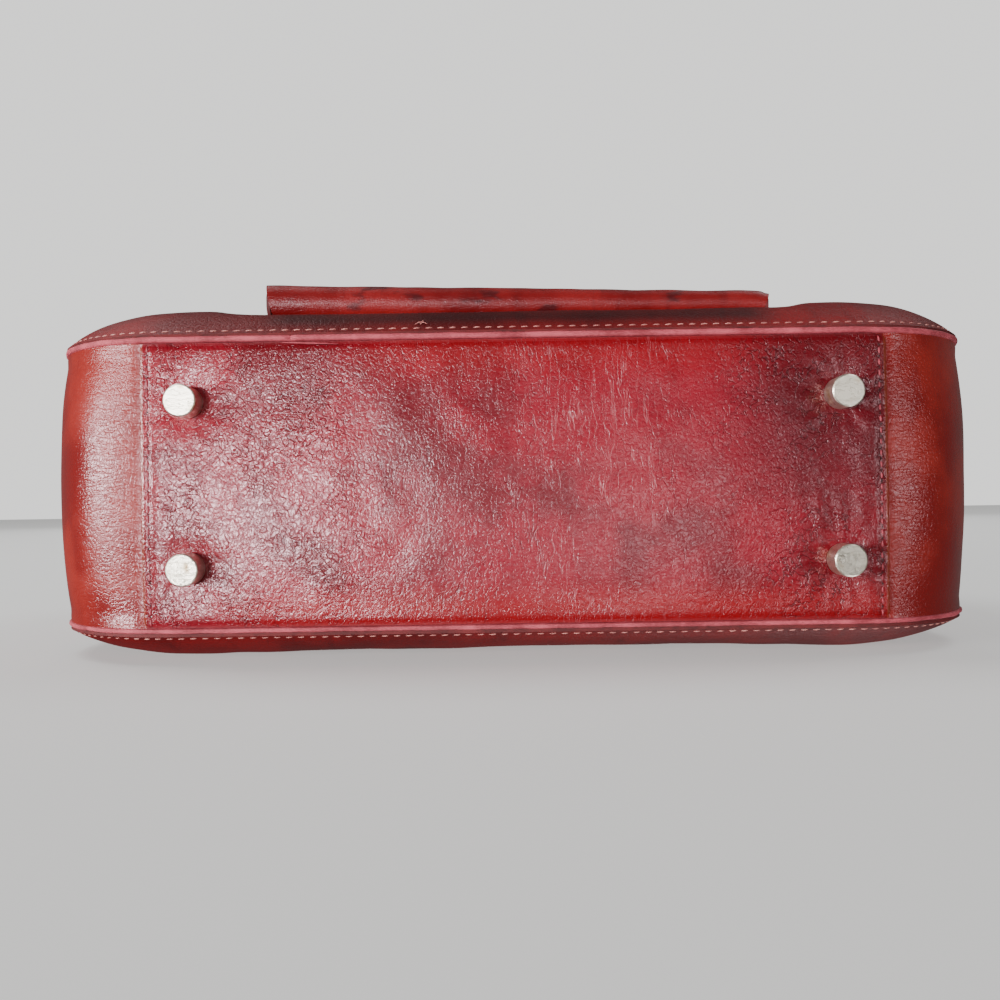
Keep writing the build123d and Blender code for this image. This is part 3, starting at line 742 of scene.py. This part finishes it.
def make_seam_wear():
    """A thin torn strip beside the front seam's joint, and a few loose thread ends on the seam."""
    start = WELT_JOINTS["front"] - 3 * MM
    length = 19 * MM

    def torn(u, v):
        x = start + length * u
        angle = 2 * math.pi * v
        radius = 0.34 * MM * math.sin(math.pi * (0.06 + 0.88 * u)) * (1 + 0.3 * lumps(x, 0, 2 * MM, 5.0))
        y = -HALF_DEPTH + 0.7 * MM + 0.8 * MM * u + radius * math.cos(angle)
        return Vector((x, y, BASE_Z - 1.2 * MM - radius * math.sin(angle)))

    strip = tube("torn_strip", 40, 8, torn, PINK, (20 * MM, 2 * MM))
    out = Vector((0, -0.3, -0.95)).normalized()
    spots = []
    for x, lean in ((-31.6, 1.25), (-30.4, 0.75), (-29.6, -1.05), (-31.0, 1.6)):
        centre = panel_at("front", x * MM, BASE_Z + 2.4 * MM) + Vector((0, -0.6 * MM, 0))
        spots.append((centre, Vector((math.sin(lean), -math.cos(lean), 0.2)).normalized(), out))
    ends = sew("loose_thread", spots, SEAM_THREAD, 2.8 * MM, 0.13 * MM, sag=0.5 * MM)
    for piece in (strip, ends):
        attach(piece, "bag_body")


def make_panels():
    """Front and back leather, each one hide from its seam up into the mouth frame."""
    for place, sign in PLACES.items():

        def surface(x, z, place=place):
            return panel_at(place, x, z)

        def spot(u, v, surface=surface):
            x, z = outline_spot(2 * u - 1, v)
            return surface(x, z)

        leather = lay(f"{place}_leather", 190, 124, spot, (0.33, 0.23), flip=sign > 0)
        hide(leather, 1.2 * MM, (PANEL, FLESH, DARK_EDGE))
        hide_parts(f"{place}_panel", f"{place}_shoulder")
        route = []
        for along in steps(-RIM + 3 * MM, RIM - 3 * MM, 4 * MM):
            point = rim_point(along, EDGE_OUT - STITCH_IN)
            route.append((point.x, point.z))
        spots = spots_on(surface, route, 1 if sign < 0 else -1)
        stitches = sew(f"{place}_seam_stitches", spots, SEAM_THREAD)
        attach(stitches, "bag_body")
        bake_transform(leather)


def make_gusset_folds():
    """Tops of the gussets, tucked in along a crease, in a front and a back half."""
    crease_low = Vector((HALF_WIDTH - 0.5 * MM, 0, SHOULDER_Z))
    crease_high = Vector((125 * MM, 0, 206 * MM))
    run = crease_high - crease_low
    climb = Vector((run.z, 0, -run.x))
    rise = Vector((SHOULDER_TOP_X - crease_low.x, 0, SHOULDER_TOP - SHOULDER_Z))
    climb *= climb.dot(rise) / climb.length_squared
    for side, x_sign in SIDES.items():
        for place, y_sign in PLACES.items():

            def wall(u, v, x_sign=x_sign, y_sign=y_sign):
                edge_low = Vector((crease_low.x, HALF_DEPTH + 0.6 * MM, SHOULDER_Z))
                edge_high = Vector((SHOULDER_TOP_X, SHOULDER_TOP_OUT - 0.6 * MM, SHOULDER_TOP))
                low = blend_points(crease_low, edge_low, u)
                point = blend_points(low, blend_points(crease_high, edge_high, u), v)
                sag = 2.2 * MM * math.sin(math.pi * u) * math.sin(math.pi * min(v + 0.1, 1.0))
                point -= climb.normalized() * (sag + 0.5 * MM * lumps(u, v, 0.3, 4.0 + y_sign))
                return Vector((x_sign * point.x, y_sign * point.y, point.z))

            fold = lay(f"gusset_tuck_{place}_{side}", 40, 44, wall, (0.05, 0.06), flip=x_sign * y_sign < 0)
            hide(fold, 1.1 * MM, (GUSSET, FLESH, DARK_EDGE))
            if place == "front":
                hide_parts(f"gusset_fold_{side}")
            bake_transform(fold)


# Pocket and flap

POCKET_LOW, POCKET_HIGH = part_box("front_pocket")
POCKET_HALF_X = POCKET_HIGH.x
POCKET_BACK = -POCKET_HIGH.y
POCKET_DEPTH = 9.9 * MM
POCKET_FULL_Z = 85 * MM
ROLL_RADIUS = 5.6 * MM
STRIP_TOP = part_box("flap_strip")[1].z
FLAP_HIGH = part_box("pocket_flap")[1]
HINGE_Y, HINGE_Z = next(joint["pos_m"][1:] for joint in frame["joints"] if joint["name"] == "flap_fold")


def roll_size(x):
    """The folded bottom is fuller at its left end than at its right, where it closes a little."""
    taper = 1.22 - 0.46 * (x + POCKET_HALF_X) / (2 * POCKET_HALF_X) + 0.03 * lumps(x, 0, 24 * MM, 3.0)
    return taper * (1 - 0.12 * ease(POCKET_HALF_X - 5 * MM, POCKET_HALF_X, x) ** 2)


def pocket_x(x):
    """The pocket sits a little to the right of the middle."""
    return x * 1.012 + POCKET_SHIFT


def pocket_at(x, run):
    """The pocket's skin, from behind its folded bottom, round it and up the front, then inside."""
    radius = ROLL_RADIUS * roll_size(x)
    centre_z = POCKET_LOW.z + radius
    half_turn = math.pi * radius
    top = POCKET_HIGH.z
    front_run = top - centre_z
    if run < half_turn:
        angle = run / radius
        depth, z = radius - radius * math.cos(angle), centre_z - radius * math.sin(angle)
    elif run < half_turn + front_run:
        climb = run - half_turn
        depth, z = 2 * radius, centre_z + climb
    else:
        inside = run - half_turn - front_run
        hem = 1.3 * MM
        angle = min(inside / hem, math.pi)
        depth = 2 * radius - hem + hem * math.cos(angle)
        z = top + hem * math.sin(angle) - max(inside - hem * math.pi, 0.0)
    full = ease(centre_z, POCKET_FULL_Z, z)
    depth += (POCKET_DEPTH - 2 * radius) * full * ease(0.0, 6 * MM, depth)
    if z > centre_z and run >= half_turn:
        depth += 0.5 * MM * lumps(x, z, 34 * MM, 6.0) - 0.9 * MM * hump(z, centre_z + 9 * MM, 5 * MM)
    depth += 0.25 * MM * lumps(x, run, 12 * MM, 2.0)
    drawn_in = 1 - 0.035 * ease(half_turn, 0.0, run)
    return Vector((pocket_x(x * drawn_in), -(POCKET_BACK + 0.2 * MM + depth), z))


def make_pocket():
    """Front pocket: one folded skin, two side walls and its stitches."""
    total = math.pi * ROLL_RADIUS + POCKET_HIGH.z - POCKET_LOW.z + 6 * MM

    def place(u, v):
        return pocket_at((2 * u - 1) * POCKET_HALF_X, v * total)

    skin = lay("pocket_leather", 150, 110, place, (2 * POCKET_HALF_X, total))
    hide(skin, 1.2 * MM, (TRIM, FLESH, DARK_EDGE))
    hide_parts("front_pocket")
    pieces = [skin]
    for side, sign in SIDES.items():
        x_end = sign * (POCKET_HALF_X - 0.8 * MM)

        def wall(u, v, x_end=x_end, sign=sign):
            radius = ROLL_RADIUS * roll_size(x_end)
            z = blend_points(POCKET_LOW.z + 0.3 * MM, POCKET_HIGH.z - 1 * MM, v * v)
            drop = max(POCKET_LOW.z + radius - z, 0.0)
            half = math.sqrt(max(radius * radius - drop * drop, 0.0))
            if drop:
                inner, outer = radius - half, radius + half
            else:
                inner = -0.4 * MM
                outer = 2 * radius + (POCKET_DEPTH - 2 * radius) * ease(40 * MM, POCKET_FULL_Z, z)
            bow = 1.6 * MM * math.sin(math.pi * u) * ease(36 * MM, 60 * MM, z)
            depth = blend_points(inner + 0.3 * MM, outer - 0.7 * MM, u)
            return Vector((pocket_x(x_end - sign * bow), -(POCKET_BACK + depth), z))

        side_wall = lay(f"pocket_side_{side}", 10, 70, wall, (0.01, 0.1), flip=sign > 0)
        hide(side_wall, 1.2 * MM, (TRIM, FLESH, DARK_EDGE))
        pieces.append(side_wall)
        edge = sign * (POCKET_HALF_X - 3 * MM)
        start = math.pi * ROLL_RADIUS + 6 * MM
        route = [(edge, run) for run in steps(start, total - 14 * MM, 4 * MM)]
        pieces.append(sew(f"pocket_stitches_{side}", spots_on(pocket_at, route), SEAM_THREAD))
    for piece in pieces:
        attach(piece, "bag_body")


def flap_at(x, run):
    """Flap leather from its sewn strip, forward over the pocket and down its front."""
    back = POCKET_BACK + 2.2 * MM
    front = -HINGE_Y + 1.1 * MM
    bend = 3.2 * MM
    first = STRIP_TOP - HINGE_Z - bend
    second = front - back - 2 * bend
    quarter = bend * math.pi / 2
    if run < first:
        depth, z = back, STRIP_TOP - run
    elif run < first + quarter:
        angle = (run - first) / bend
        depth, z = back + bend * (1 - math.cos(angle)), HINGE_Z + bend - bend * math.sin(angle)
    elif run < first + quarter + second:
        depth, z = back + bend + run - first - quarter, HINGE_Z
    elif run < first + 2 * quarter + second:
        angle = (run - first - quarter - second) / bend
        depth = front - bend + bend * math.sin(angle)
        z = HINGE_Z - bend + bend * math.cos(angle)
    else:
        drop = run - first - 2 * quarter - second
        depth, z = front, HINGE_Z - bend - drop
        depth += 0.7 * MM * ease(10 * MM, 40 * MM, drop) * (0.4 + lumps(x, z, 40 * MM, 2.0))
    return Vector((x, -depth, z))


FLAP_RUN = 71.5 * MM
FLAP_CORNER = 22 * MM


def flap_spot(u, v):
    """Bends a rectangle into the flap's outline, with its two lower corners rounded."""
    half = FLAP_HIGH.x
    x, run = (2 * u - 1) * half, v * FLAP_RUN
    corner_x, corner_run = half - FLAP_CORNER, FLAP_RUN - FLAP_CORNER
    a, b = round_corner((abs(x) - corner_x) / FLAP_CORNER, (run - corner_run) / FLAP_CORNER)
    return math.copysign(corner_x + FLAP_CORNER * a, x), corner_run + FLAP_CORNER * b


def flap_edge_route(inset, pitch):
    """Points along the flap's edge, inset from it, from one top corner round to the other."""
    half, low = FLAP_HIGH.x - inset, FLAP_RUN - inset
    radius = FLAP_CORNER - inset
    start = 20 * MM
    side = [(-half, run) for run in steps(start, low - radius, pitch)]
    corner = []
    for angle in steps(math.pi, math.pi / 2, pitch / radius)[1:]:
        corner.append((-half + radius + radius * math.cos(angle), low - radius + radius * math.sin(angle)))
    left = side + corner
    bottom = [(x, low) for x in steps(-half + radius, half - radius, pitch)][1:-1]
    return left + bottom + [(-x, run) for x, run in reversed(left)]


def make_flap():
    """Pocket flap: one leather from the sewn strip over the fold, with an edge stitch."""
    leather = lay("flap_leather", 130, 84, lambda u, v: flap_at(*flap_spot(u, v)),
                  (2 * FLAP_HIGH.x, FLAP_RUN), flip=True)
    hide(leather, 1.7 * MM, (TRIM, FLESH, DARK_EDGE), bevel=0.25 * MM)
    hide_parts("flap_strip", "pocket_flap")
    stitches = sew("flap_stitches", spots_on(flap_at, flap_edge_route(3 * MM, 4 * MM), -1), SEAM_THREAD)
    strip_row = [(x, 3 * MM) for x in steps(-FLAP_HIGH.x + 3 * MM, FLAP_HIGH.x - 3 * MM, 4 * MM)]
    strip = sew("flap_strip_stitches", spots_on(flap_at, strip_row, -1), SEAM_THREAD)
    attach(strip, "bag_body")
    for piece in (leather, stitches):
        HINGE_Y + 1.5 * MM
        HINGE_Z + 0.8 * MM
        HINGE_Y - 0.5 * MM
        HINGE_Z - 5 * MM
        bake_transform(piece)


# Mouth frame


def make_frame_wraps():
    """Leather rolled round each frame bar and stitched below it."""
    roundness = 0.75
    half_x = WRAP_HIGH.x
    half_y, half_z = (WRAP_HIGH.y - WRAP_LOW.y) / 2, (WRAP_HIGH.z - WRAP_LOW.z) / 2
    for place, sign in PLACES.items():

        def ring(u, v, sign=sign):
            x = (2 * u - 1) * half_x
            angle = 2 * math.pi * v
            closing = 1 - 0.35 * ease(half_x - 3 * MM, half_x, abs(x)) ** 2
            uneven = 1 + 0.03 * lumps(x, angle * 4 * MM, 18 * MM, 3.0 + sign)
            y = math.copysign(abs(math.cos(angle)) ** roundness, math.cos(angle)) * half_y * closing
            z = math.copysign(abs(math.sin(angle)) ** roundness, math.sin(angle)) * half_z * closing
            return Vector((x, sign * (BAR_Y + y * uneven), BAR_Z + z))

        wrap = tube(f"{place}_wrap_leather", 200, 32, ring, TRIM, (2 * half_x, 0.045))
        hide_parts(f"{place}_frame_wrap")

        def face(x, z, sign=sign):
            height = min(abs(z - BAR_Z) / half_z, 1.0) ** (1 / roundness)
            out = half_y * math.sqrt(1 - height * height) ** roundness
            return Vector((x, sign * (BAR_Y + out), z))

        row = [(x, BAR_Z - 4.6 * MM) for x in steps(-half_x + 4 * MM, half_x - 4 * MM, 4 * MM)]
        stitches = sew(f"{place}_wrap_stitches", spots_on(face, row, 1 if sign < 0 else -1), SEAM_THREAD)
        for piece in (wrap, stitches):
            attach(piece, f"{place}_frame")


# Handle

GRIP_LOW, GRIP_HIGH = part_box("handle_grip")
GRIP_RADIUS = (GRIP_HIGH.y - GRIP_LOW.y) / 2
GRIP_Y = (GRIP_HIGH.y + GRIP_LOW.y) / 2
LEG_X = GRIP_HIGH.x - GRIP_RADIUS
GRIP_TOP = GRIP_HIGH.z - GRIP_RADIUS
GRIP_BEND = 42 * MM
GRIP_STITCH_ANGLE = 0.34
RING_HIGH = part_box("handle_ring_right")[1]


def grip_spot(share):
    """Point and direction on the grip's centre line, share from 0 at one end to 1."""
    leg, arc, flat = GRIP_TOP - GRIP_BEND - GRIP_LOW.z, GRIP_BEND * math.pi / 2, LEG_X - GRIP_BEND
    run = (leg + arc + flat) * (1 - abs(2 * share - 1))
    side = -1 if share < 0.5 else 1
    if run < leg:
        x, z, turn = LEG_X, GRIP_LOW.z + run, 0.0
    elif run < leg + arc:
        turn = (run - leg) / GRIP_BEND
        x = LEG_X - GRIP_BEND * (1 - math.cos(turn))
        z = GRIP_TOP - GRIP_BEND * (1 - math.sin(turn))
    else:
        x, z, turn = LEG_X - GRIP_BEND - (run - leg - arc), GRIP_TOP, math.pi / 2
    inward = Vector((-side * math.cos(turn), 0, -math.sin(turn)))
    return Vector((side * x, GRIP_Y, z)), inward


def grip_surface(share, angle):
    """The grip's skin: round, fuller in the middle, with a pinched seam on its inner side."""
    centre, inward = grip_spot(share)
    ends = abs(2 * share - 1)
    radius = GRIP_RADIUS * (1.0 - 0.16 * ease(0.75, 1.0, ends)) * (1 - 0.25 * ease(0.97, 1.0, ends) ** 2)
    radius *= 1 + 0.014 * lumps(share * 8, angle, 1.0, 2.0)
    pinch = 0.9 * MM * math.exp(-((math.remainder(angle, 2 * math.pi) / 0.2) ** 2))
    return centre + (inward * math.cos(angle) + Vector((0, math.sin(angle), 0))) * (radius + pinch)


def make_handle():
    """Rolled leather grip with its seam inside the arch, and the two stitched tabs."""
    grip = tube("grip_leather", 150, 40, lambda u, v: grip_surface(u, 2 * math.pi * v), TRIM, (0.18, 0.045))
    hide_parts("handle_grip")
    spots = []
    for share in steps(0.05, 0.95, 0.0235)[:-1]:
        behind, point, ahead = (grip_surface(share + step, GRIP_STITCH_ANGLE) for step in (-0.005, 0, 0.005))
        spots.append((point, (ahead - behind).normalized(), (point - grip_spot(share)[0]).normalized()))
    pieces = [grip, sew("grip_stitches", spots, SEAM_THREAD)]
    ring_z = RING_HIGH.z - 1.8 * MM
    for side in SIDES:
        low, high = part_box(f"handle_tab_{side}")
        middle, half = (low.x + high.x) / 2, (high.x - low.x) / 2
        loop = 2.0 * MM
        leg = GRIP_LOW.z + 7 * MM - ring_z

        def strap(u, v, middle=middle, half=half, loop=loop, leg=leg):
            run = (2 * v - 1) * (leg + math.pi * loop / 2)
            past = max(abs(run) - math.pi * loop / 2, 0.0)
            angle = max(min(run / loop, math.pi / 2), -math.pi / 2)
            spread = ease(0.0, leg, past) * (GRIP_RADIUS * 0.72 - loop)
            y = GRIP_Y + (loop + spread) * math.sin(angle)
            width = half * (1 - 0.12 * ease(0.3 * leg, leg, past))
            return Vector((middle + (2 * u - 1) * width, y, ring_z - loop * math.cos(angle) + past))

        tab = lay(f"handle_tab_leather_{side}", 20, 60, strap, (2 * half, 2 * leg), flip=False)
        hide(tab, 1.6 * MM, (TRIM, FLESH, DARK_EDGE), bevel=0.25 * MM, inward=1)
        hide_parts(f"handle_tab_{side}")
        pieces.append(tab)
        for face, top in (("front", 0.04), ("back", 0.96)):
            heights = steps(0.5 + (top - 0.5) * 0.5, top, 0.06)
            row = [spot for u in (0.13, 0.87) for spot in spots_on(strap, [(u, v) for v in heights], -1)]
            pieces.append(sew(f"handle_tab_stitches_{face}_{side}", row, SEAM_THREAD, 2.2 * MM, 0.32 * MM))
    for piece in pieces:
        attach(piece, "handle")


# Inside


def make_lining():
    """Twill pouch: a strip that follows the gussets and base, two sides and a patch pocket."""
    inset = 4.2 * MM
    clear = 0.9 * MM
    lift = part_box("lining")[0].z - BASE_Z
    half_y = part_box("lining")[1].y - 0.4 * MM

    def strip(u, v):
        along = (2 * u - 1) * RIM
        low = ease(FLAT + ARC, FLAT, abs(along))
        gap = blend_points(inset, lift + clear, low) + 0.3 * MM * lumps(along, v * 0.1, 16 * MM, 4.0)
        point = rim_point(along, -gap)
        return Vector((point.x, (2 * v - 1) * half_y, point.z))

    cloth = lay("lining_strip", 180, 30, strip, (2 * RIM, 2 * half_y))
    hide(cloth, 0.5 * MM, (TWILL, TWILL, TWILL))
    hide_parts("lining")
    pieces = [cloth]
    for place, sign in PLACES.items():

        def sheet(u, v, sign=sign):
            x, z = outline_spot(2 * u - 1, v * 0.66)
            x *= (HALF_WIDTH - inset) / (HALF_WIDTH + EDGE_OUT)
            z += (lift + EDGE_OUT + clear) * (1 - v)
            out = half_y + 0.6 * MM * lumps(x, z, 30 * MM, 7.0) - 0.8 * MM
            return Vector((x, sign * out, z))

        side_cloth = lay(f"lining_{place}", 90, 50, sheet, (0.32, 0.15), flip=sign < 0)
        hide(side_cloth, 0.5 * MM, (TWILL, TWILL, TWILL))
        pieces.append(side_cloth)
    low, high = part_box("inner_pocket")
    fullness = 2.2 * MM

    def patch(u, v):
        x, z = blend_points(low.x, high.x, u), blend_points(low.z, high.z, v)
        edge = min(u, 1 - u, v) * 6
        puff = fullness * min(edge, 1.0) * (1 + 0.4 * lumps(x, z, 25 * MM, 2.0))
        return Vector((x, half_y - fullness - puff, z))

    pouch = lay("lining_pocket", 60, 36, patch, (0.16, 0.09))
    hide(pouch, 0.6 * MM, (TWILL, TWILL, TWILL))
    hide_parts("inner_pocket")
    pieces.append(pouch)
    for piece in pieces:
        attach(piece, "bag_body")


def make_plate_rivets():
    """Two domed rivets through each hinge plate."""
    for side, sign in SIDES.items():
        low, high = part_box(f"hinge_plate_{side}")
        face = high.x if sign > 0 else low.x
        spots = []
        for z in (low.z + 6 * MM, low.z + 14 * MM):
            spots.append((Vector((face, 0, z)), Vector((0, 1, 0)), Vector((sign, 0, 0))))
        rivets = sew(f"plate_rivets_{side}", spots, NICKEL, 5.2 * MM, 2.6 * MM, 0.0, 1.6 * MM, 0.0)
        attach(rivets, "bag_body")


def finish_metal():
    """Gives the CAD nodes that stay in view their materials."""
    looks = {"nickel": NICKEL, "steel": STEEL, "board": BOARD, "cord": CORD}
    for part in frame["record"]["subparts"]:
        if part["material_slot"] in looks:
            mesh = frame["nodes"][part["node"]].data
            mesh.materials.clear()
            mesh.materials.append(looks[part["material_slot"]])


# Stage, light and camera


def one_sided(name, albedo, glow):
    """A plain matt finish that is lit from within a little and seen only from its front."""
    look, shader, place = start_look(name)
    shade = cloud(place, 400.0) * 0.04 + 0.98
    colour = shade.mix((0, 0, 0, 1), (albedo, albedo, albedo * 0.985, 1))
    feed(shader, Base_Color=colour, Roughness=0.85, Specular_IOR_Level=0.2,
         Emission_Color=(1.0, 0.995, 0.98, 1), Emission_Strength=glow)
    back = place.node("ShaderNodeNewGeometry", output="Backfacing")
    clear = place.node("ShaderNodeBsdfTransparent")
    solid = Wire(place.tree, shader.outputs[0])
    blend = place.node("ShaderNodeMixShader", inputs={0: back, 1: solid, 2: clear})
    place.tree.links.new(blend.socket, look.node_tree.nodes["Material Output"].inputs["Surface"])
    return look


def make_stage():
    """A pale floor, the surface that the bag lies back on when seen from below, and a plain backdrop."""
    deselect()
    bpy.ops.mesh.primitive_plane_add(size=40)
    floor = bpy.context.object
    deselect()
    bpy.ops.mesh.primitive_plane_add(size=8, location=(0, cad_bounds[1][1] + 1.5 * MM, 0),
                                     rotation=(math.radians(90), 0, 0))
    surface = bpy.context.object
    deselect()
    bpy.ops.mesh.primitive_uv_sphere_add(segments=48, ring_count=24, radius=19)
    backdrop = bpy.context.object
    edit(backdrop, (bpy.ops.mesh.flip_normals, {}))
    smooth(backdrop, 180)
    pale = one_sided("pale_floor", albedo=0.5, glow=0.42)
    plain_back = one_sided("plain_backdrop", albedo=0.0, glow=1.25)
    for name, item, look in (("floor", floor, pale), ("lying_surface", surface, pale),
                             ("backdrop", backdrop, plain_back)):
        item.name = name
        item.data.materials.append(look)
        item.visible_shadow = item.visible_diffuse = item.visible_glossy = False


def add_light(name, location, target, size, power):
    """A soft oblong light aimed at a point."""
    deselect()
    aim = (Vector(target) - Vector(location)).to_track_quat("-Z", "Y").to_euler()
    bpy.ops.object.light_add(type="AREA", location=location, rotation=aim)
    lamp = bpy.context.object
    lamp.name = name
    lamp.data.shape = "RECTANGLE"
    lamp.data.size, lamp.data.size_y = size
    lamp.data.energy = power


def make_light():
    """Two windows below and to the left, low glows, and soft lights in front, behind and above."""
    world = bpy.data.worlds.new("studio")
    bpy.context.scene.world = world
    world.use_nodes = True
    world.node_tree.nodes["Background"].inputs["Color"].default_value = tone(228, 228, 226)
    world.node_tree.nodes["Background"].inputs["Strength"].default_value = 0.2
    add_light("window", (-0.46, 0.05, -1.3), (-0.06, 0, 0), (0.2, 0.34), 20)
    add_light("side_window", (-1.35, -0.1, -0.7), (-0.08, 0, 0), (0.2, 0.7), 32)
    add_light("low_glow", (0.26, 0.08, -1.3), (0.05, 0, 0), (0.3, 0.24), 2.4)
    add_light("side_glow", (1.0, 0, -0.95), (0.12, 0, 0), (0.2, 0.6), 3.5)
    add_light("front_left", (-1.2, -1.9, 0.65), (0, 0, 0.12), (1.2, 1.0), 26)
    add_light("front_right", (1.2, -1.9, 0.65), (0, 0, 0.12), (1.0, 1.0), 13)
    add_light("rear", (0.8, 2.1, 0.5), (0, 0, 0.15), (1.2, 1.0), 26)
    add_light("overhead", (0, -0.1, 2.3), (0, 0, 0.1), (1.4, 1.4), 34)


def make_camera():
    """Looks straight at the base from below, with the front panel upwards."""
    roll = math.radians(0.85)
    bpy.ops.object.camera_add(location=(-5 * MM, 6.3 * MM, -324 * MM), rotation=(math.pi, 0, roll))
    camera = bpy.context.object
    camera.data.lens, camera.data.sensor_width = 36, 36
    camera.data.clip_start = 0.01
    bpy.context.scene.camera = camera


make_camera()
make_base()
make_gussets()
make_edge_welts()
make_seam_wear()
make_panels()
make_gusset_folds()
make_pocket()
make_flap()
make_frame_wraps()
make_handle()
make_lining()
make_plate_rivets()
finish_metal()
make_stage()
make_light()
